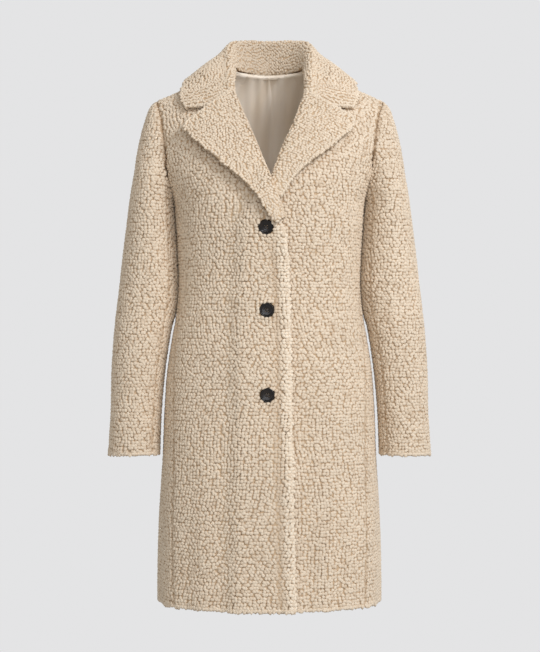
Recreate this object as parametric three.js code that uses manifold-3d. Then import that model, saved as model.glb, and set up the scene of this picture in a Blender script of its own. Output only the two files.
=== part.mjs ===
// A knee-length, single-breasted teddy coat in beige faux fur, hollow, as if it were worn.
// Millimetres, +Z up, the front faces -Y, the wearer's left is +X.
// The origin is the middle of the neck, level with the seam at the back of the neck.
import * as THREE from 'three';
import { mergeVertices } from 'three/addons/utils/BufferGeometryUtils.js';
import Module from 'manifold-3d';

const wasm = await Module();
wasm.setup();

// Driving dimensions
const FUR = 8; // wall of the fur cloth, backing and pile together
const SEAM = 0.35; // gap between two pieces that are sewn together
const CUT_CLEAR = 0.6; // how much larger a neighbour is made before it is cut from a piece
const LEAF = 9; // collar and lapel: two cloths and their turned seam
const SATIN = 1.5; // wall of the lining
const LINING_GAP = 3.5; // from the fur's backing to the lining
const LAP_CLEARANCE = 1.2; // between the two fronts where they lap
const LAP_RAMP = 42; // the upper front starts to climb this far before the lower one's edge
const LAP_LEAD = 9; // and has climbed this far before it
const EDGE_ROUND = 5; // width of the rounding of a free edge
const BAND_WIDTH = 30; // the turned front edge, thicker than the single cloth beside it
const BAND_PUFF = 3;
const NECK_SIDE_X = 64;
const NECK_SIDE_Z = 12;
const NECK_BACK_Z = 8;
const SHOULDER_TIP_X = 199.5;
const NECK_SOFT = 40; // rounds the top line where it crosses over the open neck
const SHOULDER_ROUND = 140; // height over which the shoulder rounds into the chest
const SHOULDER_TIP_Z = -44;
const UNDERARM_Z = -217;
const HEM_Z = -915;
const CUFF_Z = -660;
const LINING_HEM_Z = -885;
const SQUARENESS = 2.4; // exponent of the rounded-square cross-section of the body
const BUTTON_RADIUS = 13;
const BUTTON_THICK = 5.2;
const BUTTON_SUNK = 4;
const BUTTON_PLAY = 0.8;

// The body's cross-sections: half width at the sides, depth in front of and behind the side line.
const BODY = [
  { z: 40, halfWidth: 214, front: 68, back: 98 },
  { z: 12, halfWidth: 214, front: 72, back: 99 },
  { z: -44, halfWidth: 212, front: 92, back: 105 },
  { z: -77, halfWidth: 207, front: 101, back: 112 },
  { z: -119, halfWidth: 198, front: 112, back: 119 },
  { z: -175, halfWidth: 182, front: 126, back: 121 },
  { z: -217, halfWidth: 166, front: 131, back: 118 },
  { z: -257, halfWidth: 162, front: 129, back: 113 },
  { z: -313, halfWidth: 158.5, front: 123, back: 106 },
  { z: -369, halfWidth: 157, front: 119, back: 103 },
  { z: -411, halfWidth: 161, front: 119, back: 107 },
  { z: -445, halfWidth: 168, front: 121, back: 113 },
  { z: -516, halfWidth: 179, front: 125, back: 124 },
  { z: -588, halfWidth: 184, front: 128, back: 130 },
  { z: -663, halfWidth: 187, front: 132, back: 134 },
  { z: -770, halfWidth: 194, front: 138, back: 139 },
  { z: -868, halfWidth: 197, front: 143, back: 143 },
  { z: -920, halfWidth: 197, front: 146, back: 145 },
];

// The armhole seam seen from the front.
const ARMHOLE = [
  { z: SHOULDER_TIP_Z, x: SHOULDER_TIP_X },
  { z: -60, x: 194 },
  { z: -77, x: 189 },
  { z: -119, x: 182.5 },
  { z: -175, x: 175 },
  { z: -200, x: 169.5 },
  { z: -217, x: 166 },
];

// The side seam, as an angle round the body from the centre front; it drifts forward below the waist.
const SIDE_SEAM = [
  { z: -217, degrees: 90 },
  { z: -300, degrees: 86 },
  { z: -369, degrees: 80 },
  { z: -445, degrees: 72 },
  { z: -520, degrees: 65 },
  { z: -700, degrees: 58 },
  { z: -920, degrees: 53 },
];

// The roll line of each lapel and the front edge below it, as distances across the centre front.
const RIGHT_EDGE = [
  { z: 12, x: -64 },
  { z: -12, x: -66 },
  { z: -37, x: -67.5 },
  { z: -60, x: -58.5 },
  { z: -95, x: -44 },
  { z: -141, x: -25 },
  { z: -185, x: -7.5 },
  { z: -225, x: 8.5 },
  { z: -262, x: 21.5 },
  { z: -283, x: 30 },
  { z: -394, x: 36 },
  { z: -633, x: 40 },
  { z: -920, x: 46 },
];
const LEFT_EDGE = [
  { z: 12, x: 64 },
  { z: -12, x: 66 },
  { z: -41, x: 67 },
  { z: -62, x: 60 },
  { z: -95, x: 48 },
  { z: -145, x: 26 },
  { z: -190, x: 9.5 },
  { z: -225, x: -7 },
  { z: -255, x: -22 },
  { z: -283, x: -27 },
  { z: -394, x: -33 },
  { z: -633, x: -37 },
  { z: -920, x: -42 },
];

// Soft upright folds: each is a trough at an angle round the body that deepens towards the hem.
const FOLDS = [
  { degrees: 16, width: 5, depth: 4, from: -330 },
  { degrees: 33, width: 6, depth: 5, from: -560 },
  { degrees: 47, width: 5, depth: 3.5, from: -640 },
  { degrees: -20, width: 8, depth: 2.5, from: -480 },
  { degrees: -41, width: 7, depth: 4, from: -600 },
  { degrees: 78, width: 9, depth: 5, from: -560 },
  { degrees: -76, width: 9, depth: 5, from: -600 },
  { degrees: 112, width: 9, depth: 6, from: -470 },
  { degrees: -116, width: 9, depth: 6, from: -520 },
  { degrees: 146, width: 9, depth: 6, from: -560 },
  { degrees: -148, width: 10, depth: 5, from: -500 },
  { degrees: 178, width: 8, depth: 6, from: -540 },
];

// The sleeve's cross-sections: the outermost and innermost x, and half its depth.
const SLEEVE = [
  { z: -44, outer: 200.5, inner: 166.6, halfDepth: 62, shift: 0 },
  { z: -60, outer: 212, inner: 166.6, halfDepth: 62, shift: 0 },
  { z: -119, outer: 229, inner: 166.6, halfDepth: 62, shift: 0 },
  { z: -175, outer: 238, inner: 166.6, halfDepth: 63, shift: 0 },
  { z: -217, outer: 245, inner: 166.8, halfDepth: 63, shift: 0 },
  { z: -257, outer: 250, inner: 164, halfDepth: 61, shift: 0 },
  { z: -313, outer: 257, inner: 160.5, halfDepth: 57, shift: -1 },
  { z: -369, outer: 263, inner: 159, halfDepth: 54, shift: -3 },
  { z: -411, outer: 268, inner: 163, halfDepth: 52, shift: -5 },
  { z: -445, outer: 271.5, inner: 170.5, halfDepth: 51, shift: -7 },
  { z: -516, outer: 276, inner: 181, halfDepth: 49, shift: -11 },
  { z: -588, outer: 277, inner: 187, halfDepth: 48, shift: -15 },
  { z: -660, outer: 281.5, inner: 189.5, halfDepth: 49, shift: -18 },
];
const SLEEVE_SEAM = THREE.MathUtils.degToRad(138); // each sleeve seam, from the outermost line
const CAP_FULLNESS = 1.02; // the sleeve head's depth over the armhole's
const CAP_Z = -125; // the sleeve reaches its own depth below this height

// The collar, one half: the middle of its leaf at the neck seam, the fold, the fall and the edge.
const COLLAR = [
  { neck: [0, 61, 9.7], fold: [0, 73, 69.5], fall: [0, 88, 34], edge: [0, 92, -8] },
  { neck: [32, 46.5, 10.9], fold: [43, 65, 69.5], fall: [51, 81, 34], edge: [60, 84, -10] },
  { neck: [50, 29, 12.6], fold: [68, 41, 62], fall: [87, 52, 36], edge: [117, 60, -8] },
  { neck: [59.5, 8, 14], fold: [72, 9, 38], fall: [104, 8, 24], edge: [144, 12, -7] },
  { neck: [60, -22, 0], fold: [71, -27, 10], fall: [108, -28, 1], edge: [151, -14, -19] },
  { neck: [62, -53, -27.4], fold: [69, -61, -21], fall: [106, -52, -33], edge: [152, -38, -43] },
  { neck: [62, -64, -40], fold: [66.5, -71.5, -36], fall: [104, -79, -63], edge: [144, -63, -65] },
];
const COLLAR_FOLD = 6; // radius of the collar's fold at the middle of its leaf

// Each lapel from the neck down: its roll line and its outer edge.
const LAPEL_RIGHT = [
  { roll: [-67.5, -37], edge: [-134, -94], bow: 1 },
  { roll: [-59.5, -57.5], edge: [-138.5, -106], bow: 1 },
  { roll: [-44, -95], edge: [-112, -134], bow: 0 },
  { roll: [-25, -141], edge: [-84, -160], bow: 0 },
  { roll: [-7.5, -185], edge: [-47, -191], bow: 0 },
  { roll: [3.7, -213], edge: [-18, -222], bow: 0 },
  { roll: [13.3, -238], edge: [-2, -249], bow: 0 },
  { roll: [20.3, -258], edge: [11, -264], bow: 0 },
];
const LAPEL_LEFT = [
  { roll: [67, -41], edge: [134.5, -86], bow: 1 },
  { roll: [60.3, -61], edge: [140, -97], bow: 1 },
  { roll: [48, -95], edge: [108, -132], bow: 0 },
  { roll: [26, -145], edge: [70, -162], bow: 0 },
  { roll: [9.5, -190], edge: [40, -191], bow: 0 },
  { roll: [0, -215], edge: [21, -222], bow: 0 },
];
const LAPEL_PUFF = 2.5; // how far the middle of a lapel stands off the front
const LAPEL_TAPER = 0.35; // how much thinner its lower end is

const BUTTONS = [
  { name: 'button_top', x: -5.8, z: -271 },
  { name: 'button_middle', x: -4.2, z: -411 },
  { name: 'button_bottom', x: -3.3, z: -553.5 },
];

const vec = (x, y, z) => new THREE.Vector3(x, y, z);
const { clamp, lerp, smoothstep, degToRad } = THREE.MathUtils;
const signedPower = (value, exponent) => Math.sign(value) * Math.abs(value) ** exponent;

// Steps from 0 to 1, with extra steps near the ends that are free and rounded.
function steps(count, startInset = 0, endInset = 0) {
  const list = Array.from({ length: count + 1 }, (_, i) => i / count);
  if (startInset) list.splice(1, 0, startInset);
  if (endInset) list.splice(list.length - 1, 0, 1 - endInset);
  return list;
}

// A smooth function of height through one column of a table whose rows go down in z.
function column(rows, key) {
  const slope = (i) => {
    const a = rows[Math.max(i - 1, 0)];
    const b = rows[Math.min(i + 1, rows.length - 1)];
    return (b[key] - a[key]) / (b.z - a.z);
  };
  return (z) => {
    if (z >= rows[0].z) return rows[0][key];
    if (z <= rows.at(-1).z) return rows.at(-1)[key];
    const i = rows.findIndex((row) => row.z <= z) - 1;
    const [a, b] = [rows[i], rows[i + 1]];
    const span = b.z - a.z;
    const t = (z - a.z) / span;
    const hermite = (2 * t ** 3 - 3 * t ** 2 + 1) * a[key] + (3 * t ** 2 - 2 * t ** 3) * b[key];
    return hermite + span * ((t ** 3 - 2 * t ** 2 + t) * slope(i) + (t ** 3 - t ** 2) * slope(i + 1));
  };
}

const halfWidth = column(BODY, 'halfWidth');
const frontDepth = column(BODY, 'front');
const backDepth = column(BODY, 'back');
const armholeX = column(ARMHOLE, 'x');
const sideSeamDegrees = column(SIDE_SEAM, 'degrees');
const rightEdge = column(RIGHT_EDGE, 'x');
const leftEdge = column(LEFT_EDGE, 'x');
const sleeveOuter = column(SLEEVE, 'outer');
const sleeveInner = column(SLEEVE, 'inner');
const sleeveDepth = column(SLEEVE, 'halfDepth');
const sleeveShift = column(SLEEVE, 'shift');

// The top line of the shoulder, straight from the neck to the tip and rounded over the open neck.
const neckReach = (x) => Math.hypot(x, NECK_SOFT) - Math.hypot(NECK_SIDE_X, NECK_SOFT);
const SHOULDER_SLOPE = (NECK_SIDE_Z - SHOULDER_TIP_Z) / neckReach(SHOULDER_TIP_X);
const shoulderLine = (x) => NECK_SIDE_Z - SHOULDER_SLOPE * neckReach(x);

// How far up the round of the shoulder a point is: 1 on the shoulder line, 0 on the chest.
const shoulderRise = (x, z) => Math.max(0, 1 - (shoulderLine(x) - z) / SHOULDER_ROUND);

const bodyDepth = (y, z) => (y < 0 ? frontDepth(z) : backDepth(z));

// Zero on the body's outer surface and more outside it; near the shoulder a form that stays smooth
// along the shoulder line, and lower down one that stays smooth along the sides.
function bodyForm(x, y, z) {
  const across = (Math.abs(x) / halfWidth(z)) ** SQUARENESS;
  const through = Math.abs(y) / bodyDepth(y, z);
  const rise = shoulderRise(x, z);
  if (rise === 0) return across + through ** SQUARENESS - 1;
  const room = Math.max(1 - across, 0.02) ** (1 / SQUARENESS);
  return (through / room) ** 2 + rise ** 2 - 1;
}

// The outward direction of the body's surface at a point on or near it.
function bodyNormal(p) {
  const h = 0.4;
  return vec(
    bodyForm(p.x + h, p.y, p.z) - bodyForm(p.x - h, p.y, p.z),
    bodyForm(p.x, p.y + h, p.z) - bodyForm(p.x, p.y - h, p.z),
    bodyForm(p.x, p.y, p.z + h) - bodyForm(p.x, p.y, p.z - h),
  ).normalize();
}

// Depth of the upright folds at an angle round the body and a height.
function foldDepth(angle, z) {
  const degrees = THREE.MathUtils.radToDeg(angle);
  return FOLDS.reduce((sum, fold) => {
    const away = ((degrees - fold.degrees + 540) % 360) - 180;
    const grown = smoothstep(fold.from - z, 0, fold.from - HEM_Z);
    return sum + fold.depth * grown * Math.exp(-((away / fold.width) ** 2));
  }, 0);
}

// A point of the body's outer surface, by the angle from the centre front and the height, moved out.
function body(angle, z, out = 0) {
  const x = halfWidth(z) * signedPower(Math.sin(angle), 2 / SQUARENESS);
  const round = Math.sqrt(1 - shoulderRise(x, z) ** 2) || 0;
  const y = -signedPower(Math.cos(angle), 2 / SQUARENESS);
  const p = vec(x, y * bodyDepth(y, z) * round, z);
  return p.addScaledVector(bodyNormal(p), out - foldDepth(angle, z));
}

// The angle round the front half at which the body's surface has a given x.
const frontAngle = (x, z) =>
  Math.sign(x) * Math.asin(clamp((Math.abs(x) / halfWidth(z)) ** (SQUARENESS / 2), 0, 1));

// How far the right front stands out where it laps over the left one.
const lap = (x, z) =>
  (FUR + LAP_CLEARANCE) * smoothstep(x, leftEdge(z) - LAP_RAMP, leftEdge(z) - LAP_LEAD);

// The swell of the turned front edge, from the end of the lapel down to the hem.
function band(x, z) {
  const inward = (rightEdge(z) - x) / BAND_WIDTH;
  if (inward < 0 || inward > 1) return 0;
  return BAND_PUFF * Math.sin(Math.PI * inward ** 0.7) * smoothstep(-z, 235, 275);
}

// How far a front's outer surface stands off the body; side is -1 for the right front, 1 for the left.
const frontLift = (side, x, z) => (side < 0 ? lap(x, z) + band(x, z) : 0);

// A point of a front's outer surface.
const frontSkin = (side, x, z, out = 0) => body(frontAngle(x, z), z, out + frontLift(side, x, z));

// Turns a grid of points into one closed wall: both faces and the four rims.
// out and inn are the distances from each point to the two faces, free names the rounded edges,
// thick scales the wall from place to place, and grow makes the whole solid larger all round, for
// cutting a neighbour clear of it.
function wall(grid, { out = 0, inn, free = '', grow = 0, normals = null, thick = () => 1 }) {
  const rows = grid.length;
  const cols = grid[0].length;
  const at = (i, j) => grid[clamp(i, 0, rows - 1)][clamp(j, 0, cols - 1)];
  const normalAt = (i, j) => {
    if (normals) return normals(at(i, j), i, j);
    const down = at(i + 1, j).clone().sub(at(i - 1, j));
    const side = at(i, j + 1).clone().sub(at(i, j - 1));
    return side.cross(down).normalize();
  };
  const isFree = (i, j) =>
    (free.includes('t') && i === 0) ||
    (free.includes('b') && i === rows - 1) ||
    (free.includes('l') && j === 0) ||
    (free.includes('r') && j === cols - 1);
  const faces = [[], []];
  for (let i = 0; i < rows; i += 1) {
    for (let j = 0; j < cols; j += 1) {
      const normal = normalAt(i, j);
      const share = thick(i, j);
      const pull = isFree(i, j) ? 0.3 * (out + inn) * share : 0;
      const p = at(i, j).clone();
      if (grow && (i === 0 || i === rows - 1)) {
        const next = at(i === 0 ? 1 : rows - 2, j);
        p.addScaledVector(p.clone().sub(next).normalize(), grow);
      }
      if (grow && (j === 0 || j === cols - 1)) {
        const next = at(i, j === 0 ? 1 : cols - 2);
        p.addScaledVector(at(i, j).clone().sub(next).normalize(), grow);
      }
      faces[0].push(p.clone().addScaledVector(normal, out * share - pull + grow));
      faces[1].push(p.clone().addScaledVector(normal, pull - inn * share - grow));
    }
  }
  const points = [...faces[0], ...faces[1]];
  const index = [];
  const quad = (a, b, c, d) => index.push(a, b, c, a, c, d);
  const outer = (i, j) => i * cols + j;
  const inner = (i, j) => rows * cols + outer(i, j);
  for (let i = 0; i < rows - 1; i += 1) {
    for (let j = 0; j < cols - 1; j += 1) {
      quad(outer(i, j), outer(i + 1, j), outer(i + 1, j + 1), outer(i, j + 1));
      quad(inner(i, j), inner(i, j + 1), inner(i + 1, j + 1), inner(i + 1, j));
    }
    quad(outer(i, 0), inner(i, 0), inner(i + 1, 0), outer(i + 1, 0));
    quad(outer(i, cols - 1), outer(i + 1, cols - 1), inner(i + 1, cols - 1), inner(i, cols - 1));
  }
  for (let j = 0; j < cols - 1; j += 1) {
    quad(outer(0, j), outer(0, j + 1), inner(0, j + 1), inner(0, j));
    quad(outer(rows - 1, j), inner(rows - 1, j), inner(rows - 1, j + 1), outer(rows - 1, j + 1));
  }
  return faceOut(points, index);
}

// A geometry with its faces turned outwards, whichever way the grid ran.
function faceOut(points, index) {
  let volume = 0;
  for (let k = 0; k < index.length; k += 3) {
    const [a, b, c] = [points[index[k]], points[index[k + 1]], points[index[k + 2]]];
    volume += a.dot(b.clone().cross(c));
  }
  if (volume < 0) index.reverse();
  const geometry = new THREE.BufferGeometry().setFromPoints(points);
  geometry.setIndex(index);
  return geometry;
}

function toSolid(geometry) {
  const plain = geometry.clone();
  plain.deleteAttribute('normal');
  plain.deleteAttribute('uv');
  const merged = mergeVertices(plain, 1e-4);
  return new wasm.Manifold(
    new wasm.Mesh({
      numProp: 3,
      vertProperties: merged.attributes.position.array,
      triVerts: new Uint32Array(merged.index.array),
    }),
  );
}

// The geometry left of a piece when others are cut from it: its largest body.
function cut(geometry, ...cutters) {
  const left = cutters.reduce((solid, cutter) => solid.subtract(toSolid(cutter)), toSolid(geometry));
  const bodies = left.decompose().sort((a, b) => b.volume() - a.volume());
  const mesh = bodies[0].getMesh();
  const result = new THREE.BufferGeometry();
  result.setAttribute('position', new THREE.BufferAttribute(mesh.vertProperties, mesh.numProp));
  result.setIndex(new THREE.BufferAttribute(mesh.triVerts, 1));
  return result;
}

// Heights of a panel's rows: above the underarm they fan out from the shoulder, below it they are level.
const CHEST_ROWS = 8;
const SKIRT_ROWS = 12;
const fan = Array.from({ length: CHEST_ROWS }, (_, i) => (i / CHEST_ROWS) ** 1.6);
const skirt = steps(SKIRT_ROWS, 0, EDGE_ROUND / (UNDERARM_Z - HEM_Z));

// The normal that a torso panel's wall follows: the body's own, so that sewn neighbours never cross.
const panelNormal = (p) => bodyNormal(p);

// A front panel, from its front edge to the side seam and the armhole.
function frontPanel(side, grow = 0) {
  const edge = side < 0 ? rightEdge : leftEdge;
  const across = [0, 0.02, 0.055, ...steps(11).slice(1)];
  const point = (x, z) => {
    const p = frontSkin(side, x, z);
    p.y = Math.min(p.y, -SEAM / 2);
    return p;
  };
  const chest = fan.map((w) => {
    const armZ = lerp(SHOULDER_TIP_Z, UNDERARM_Z, w);
    const edgeZ = lerp(NECK_SIDE_Z, UNDERARM_Z, w);
    const armX = side * (armholeX(armZ) - SEAM);
    const edgeX = edge(edgeZ);
    const turn = lerp(0.5, Math.PI / 2, w);
    return across.map((t) => {
      const share = Math.sin(t * turn) / Math.sin(turn);
      const x = lerp(edgeX, armX, share);
      const z = w === 0 ? shoulderLine(x) : lerp(edgeZ, armZ, share);
      return point(x, z);
    });
  });
  const lower = skirt.map((s) => {
    const z = lerp(UNDERARM_Z, HEM_Z, s);
    const start = frontAngle(edge(z), z);
    const end = side * (degToRad(sideSeamDegrees(z)) - SEAM / 2 / halfWidth(z));
    return across.map((t) => {
      const angle = lerp(start, end, t);
      const x = halfWidth(z) * signedPower(Math.sin(angle), 2 / SQUARENESS);
      return body(angle, z, frontLift(side, x, z));
    });
  });
  return wall([...chest, ...lower], { inn: FUR, free: 'bl', grow, normals: panelNormal });
}

// The back's grid, from the left side seam round to the right one; inset moves all its edges in.
function backGrid(columns, rowsDown, { out = 0, inset = 0, hem = HEM_Z, neck = 0 }) {
  const across = steps(columns).map((t) => lerp(1, -1, t));
  const topZ = (x) => {
    const neckZ = NECK_BACK_Z + (NECK_SIDE_Z - NECK_BACK_Z) * (x / NECK_SIDE_X) ** 2;
    return Math.abs(x) > NECK_SIDE_X ? shoulderLine(x) : neckZ;
  };
  const place = (angle, z) => {
    const p = body(angle, z, out);
    p.y = Math.max(p.y, SEAM / 2);
    return p;
  };
  const chest = fan.map((w) => {
    const armZ = lerp(SHOULDER_TIP_Z, UNDERARM_Z, w);
    const reach = armholeX(armZ) - SEAM - inset;
    const turn = lerp(0.5, Math.PI / 2, w);
    return across.map((t) => {
      const x = (reach * Math.sin(t * turn)) / Math.sin(turn);
      const top = topZ((x * (armholeX(SHOULDER_TIP_Z) - SEAM)) / reach);
      const z = w === 0 ? topZ(x) - neck : lerp(top - neck, UNDERARM_Z, w);
      return place(Math.PI - frontAngle(x, z), z);
    });
  });
  const lower = rowsDown.map((s) => {
    const z = lerp(UNDERARM_Z, hem, s);
    const end = Math.PI - degToRad(sideSeamDegrees(z)) - (SEAM / 2 + inset) / halfWidth(z);
    return across.map((t) => body(Math.PI - t * end, z, out));
  });
  return [...chest, ...lower];
}

const backPanel = (grow = 0) =>
  wall(backGrid(20, skirt, {}), { inn: FUR, free: 'b', grow, normals: panelNormal });

// The satin back lining, a thin wall inside the back, from the neck seam to just above the hem.
const liningOut = -(FUR + LINING_GAP);
const backLining = () =>
  wall(backGrid(16, steps(SKIRT_ROWS), { out: liningOut, inset: 3, hem: LINING_HEM_Z, neck: 1 }), {
    inn: SATIN,
    normals: panelNormal,
  });

// Depth of the armhole edge in front of (side -1) or behind (side 1) the side line.
function armholeDepth(side, z) {
  const x = armholeX(z) - SEAM;
  const y = side * 10;
  const room = Math.max(1 - (x / halfWidth(z)) ** SQUARENESS, 0) ** (1 / SQUARENESS);
  return bodyDepth(y, z) * room * Math.sqrt(1 - shoulderRise(x, z) ** 2);
}

// One half of the sleeve's cross-section: its centre, half width, depth, and the angle where it meets
// the armhole, all measured from the outermost line.
function sleeveHalf(side, z) {
  const outer = sleeveOuter(z);
  if (z <= UNDERARM_Z) {
    const half = (outer - sleeveInner(z)) / 2;
    return { centre: outer - half, half, depth: sleeveDepth(z), end: Math.PI };
  }
  const edge = armholeDepth(side, z);
  const full = smoothstep(CAP_Z - z, 0, CAP_Z - UNDERARM_Z - 40);
  const depth = Math.max(lerp(edge * CAP_FULLNESS, sleeveDepth(z), full), edge * CAP_FULLNESS);
  const end = Math.PI - Math.asin(clamp(edge / depth, 0, 1));
  const half = (outer - armholeX(z) - SEAM) / (1 - Math.cos(end));
  return { centre: outer - half, half, depth, end };
}

// A point of a sleeve's outer surface; arm is -1 for the right sleeve, and a negative turn is its front.
function sleeve(arm, turn, z) {
  const { centre, half, depth } = sleeveHalf(Math.sign(turn) || 1, z);
  const y = sleeveShift(z) + depth * Math.sin(turn);
  return vec(arm * (centre + half * Math.cos(turn)), y, z);
}

// The outward direction of a sleeve's surface.
function sleeveNormal(arm, turn, z) {
  const h = 0.01;
  const round = sleeve(arm, turn + h, z).sub(sleeve(arm, turn - h, z));
  const down = sleeve(arm, turn, Math.max(z - 1, CUFF_Z)).sub(sleeve(arm, turn, Math.min(z + 1, SHOULDER_TIP_Z)));
  return down.cross(round).multiplyScalar(arm).normalize();
}

const SLEEVE_TOP = SHOULDER_TIP_Z - 1.5;
const sleeveDrops = steps(10, 0, EDGE_ROUND / (UNDERARM_Z - CUFF_Z));

// The height at which the armhole meets a turn of the sleeve's cross-section below its middle.
function armholeAt(turn) {
  const side = Math.sign(turn);
  let [low, high] = [UNDERARM_Z, CAP_Z];
  for (let i = 0; i < 40; i += 1) {
    const middle = (low + high) / 2;
    if (sleeveHalf(side, middle).end > Math.abs(turn)) low = middle;
    else high = middle;
  }
  return low;
}

// The upper sleeve: the outer part, from seam to seam, with the sleeve head.
function upperSleeve(arm) {
  const seamTop = (t) => lerp(armholeAt(-SLEEVE_SEAM), armholeAt(SLEEVE_SEAM), t) - SEAM;
  const head = steps(6).slice(0, -1);
  const heights = [
    ...head.map((s) => (t) => lerp(SLEEVE_TOP, seamTop(t), s ** 1.35)),
    ...sleeveDrops.map((s) => (t) => lerp(seamTop(t), CUFF_Z, s)),
  ];
  const turns = [];
  const grid = heights.map((height, i) => {
    const reach = (side) => {
      const z = height(side < 0 ? 0 : 1);
      return Math.min(sleeveHalf(side, z).end, SLEEVE_SEAM) - SEAM / 2 / sleeveDepth(z);
    };
    const across = steps(12);
    turns[i] = across.map((t) => (t < 0.5 ? -reach(-1) * (1 - 2 * t) : reach(1) * (2 * t - 1)));
    return across.map((t, j) => sleeve(arm, turns[i][j], height(t)));
  });
  const normals = (p, i, j) => sleeveNormal(arm, turns[i][j], p.z);
  const upper = wall(grid, { inn: FUR, free: 'b', normals });
  return cut(upper, arm < 0 ? grownRight : grownLeft, grownBack);
}

// The under sleeve: the part next to the body, its top edge following the armhole.
function underSleeve(arm) {
  const turns = steps(6).map((t) => {
    const turn = lerp(SLEEVE_SEAM, 2 * Math.PI - SLEEVE_SEAM, t);
    return turn > Math.PI ? turn - 2 * Math.PI : turn;
  });
  const seamShift = (j) => (j === 0 ? 1 : j === turns.length - 1 ? -1 : 0) * (SEAM / 2);
  const tops = turns.map((turn) =>
    Math.abs(turn) > Math.PI - 0.01 ? UNDERARM_Z - SEAM : armholeAt(turn) - SEAM,
  );
  const grid = sleeveDrops.map((s) =>
    turns.map((turn, j) => {
      const z = lerp(tops[j], CUFF_Z, s);
      return sleeve(arm, turn + seamShift(j) / sleeveDepth(z), z);
    }),
  );
  const normals = (p, i, j) => sleeveNormal(arm, turns[j], p.z);
  return wall(grid, { inn: FUR, free: 'b', normals });
}

// Rows of a table, with smooth rows worked out between them.
function between(rows, key, count) {
  const points = rows.map((row) => vec(row[key][0], row[key][1], row[key][2] ?? 0));
  return new THREE.CatmullRomCurve3(points, false, 'centripetal').getPoints(count);
}

// A lapel: a leaf that wraps the roll edge of its front and lies on the front's outer surface.
function lapel(side, rows, grow = 0) {
  const count = 11;
  const rolls = between(rows, 'roll', count);
  const edges = between(rows, 'edge', count);
  const bows = rows.map((row, i) => vec(i, row.bow, 0));
  const bow = new THREE.CatmullRomCurve3(bows).getPoints(count);
  const turn = 5.2; // radius of the leaf's middle round the roll edge
  const grid = rolls.map((roll, i) => {
    const edge = edges[i];
    const on = (t, out) => {
      const lift = bow[i].y * 4 * t * (1 - t);
      const z = lerp(roll.y, edge.y, t) + lift;
      return frontSkin(side, lerp(roll.x, edge.x, t), z, out);
    };
    const start = on(0, 0);
    const normal = bodyNormal(start);
    const along = on(0.05, 0).sub(start).normalize();
    const corner = (s, n) => start.clone().addScaledVector(along, s).addScaledVector(normal, n);
    const leaf = [0.14, 0.32, 0.5, 0.68, 0.84, 0.94, 1].map((t) =>
      on(t, turn + 0.4 + LAPEL_PUFF * Math.sin(Math.PI * t)),
    );
    return [corner(-turn, -FUR + 4), corner(-turn, 0), corner(-turn * 0.7, turn * 0.7), ...leaf];
  });
  const thick = (i) => 1 - LAPEL_TAPER * smoothstep(i / count, 0.6, 1);
  return wall(grid, { out: LEAF / 2, inn: LEAF / 2, free: 'tbr', grow, thick });
}

// Pushes a point out until it is at least clearance away from the body's surface.
function rest(p, clearance) {
  const q = p.clone();
  for (let i = 0; i < 12; i += 1) {
    const normal = bodyNormal(q);
    const step = 0.4;
    const ahead = q.clone().addScaledVector(normal, step);
    const slope = (bodyForm(ahead.x, ahead.y, ahead.z) - bodyForm(q.x, q.y, q.z)) / step;
    const distance = bodyForm(q.x, q.y, q.z) / Math.max(slope, 1e-4);
    if (distance >= clearance) return q;
    q.addScaledVector(normal, Math.min(clearance - distance, 4));
  }
  return q;
}

// The collar: stand, fold and fall in one leaf, from one gorge seam round the neck to the other.
function collar() {
  const mirrored = COLLAR.slice(1).reverse().map((row) =>
    Object.fromEntries(Object.entries(row).map(([key, [x, y, z]]) => [key, [-x, y, z]])),
  );
  const rows = [...mirrored, ...COLLAR];
  const count = 28;
  const [necks, folds, falls, edges] = ['neck', 'fold', 'fall', 'edge'].map((key) =>
    between(rows, key, count),
  );
  const grid = necks.map((neck, i) => {
    const fold = folds[i];
    const fall = rest(falls[i], LEAF / 2 + 1);
    const edge = rest(edges[i], LEAF / 2 + 1);
    const outward = fall.clone().sub(fold).setZ(0).normalize();
    const radius = Math.min(COLLAR_FOLD, 0.5 * neck.distanceTo(fold));
    const down = vec(0, 0, -radius);
    const inside = fold.clone().addScaledVector(outward, -radius).add(down);
    const outside = fold.clone().addScaledVector(outward, radius).add(down.clone().multiplyScalar(0.7));
    const path = [neck, neck.clone().lerp(inside, 0.55), inside, fold, outside, fall, edge];
    return new THREE.CatmullRomCurve3(path, false, 'centripetal').getPoints(9);
  });
  return wall(grid, { out: LEAF / 2, inn: LEAF / 2, free: 'tbr' });
}

// The hanger loop, a narrow flat strip in front of the lining under the back neck seam.
function hangerLoop() {
  const [halfLength, width, thick, sag] = [29, 5.5, 1.6, 5];
  const grid = steps(12).map((s) => {
    const x = lerp(-halfLength, halfLength, s);
    const top = NECK_BACK_Z - 3 - sag * (1 - Math.abs(x / halfLength) ** 4);
    return [0, width].map((drop) => {
      const z = top - drop;
      const p = body(Math.PI - frontAngle(x, z), z);
      return body(Math.PI - frontAngle(x, z), z, liningOut - SATIN - 2.4).setX(p.x);
    });
  });
  return wall(grid, { inn: thick, normals: (p) => bodyNormal(p) });
}

// A round button with a raised rim and a dished middle, four holes through it.
function buttonBlank(radius, thick) {
  const rim = 0.84 * radius;
  const profile = [
    [0, 0],
    [0.7 * radius, 0],
    [0.93 * radius, 0.18 * thick],
    [radius, 0.5 * thick],
    [0.96 * radius, 0.86 * thick],
    [0.88 * radius, thick],
    [rim - 0.6, 0.9 * thick],
    [0.62 * radius, 0.62 * thick],
    [0, 0.56 * thick],
  ].map(([r, z]) => new THREE.Vector2(r, z));
  return new THREE.LatheGeometry(profile, 20).rotateX(Math.PI / 2);
}

function cylinder(radius, from, to, sides) {
  const geometry = new THREE.CylinderGeometry(radius, radius, to - from, sides);
  return geometry.rotateX(Math.PI / 2).translate(0, 0, (from + to) / 2);
}

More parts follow.
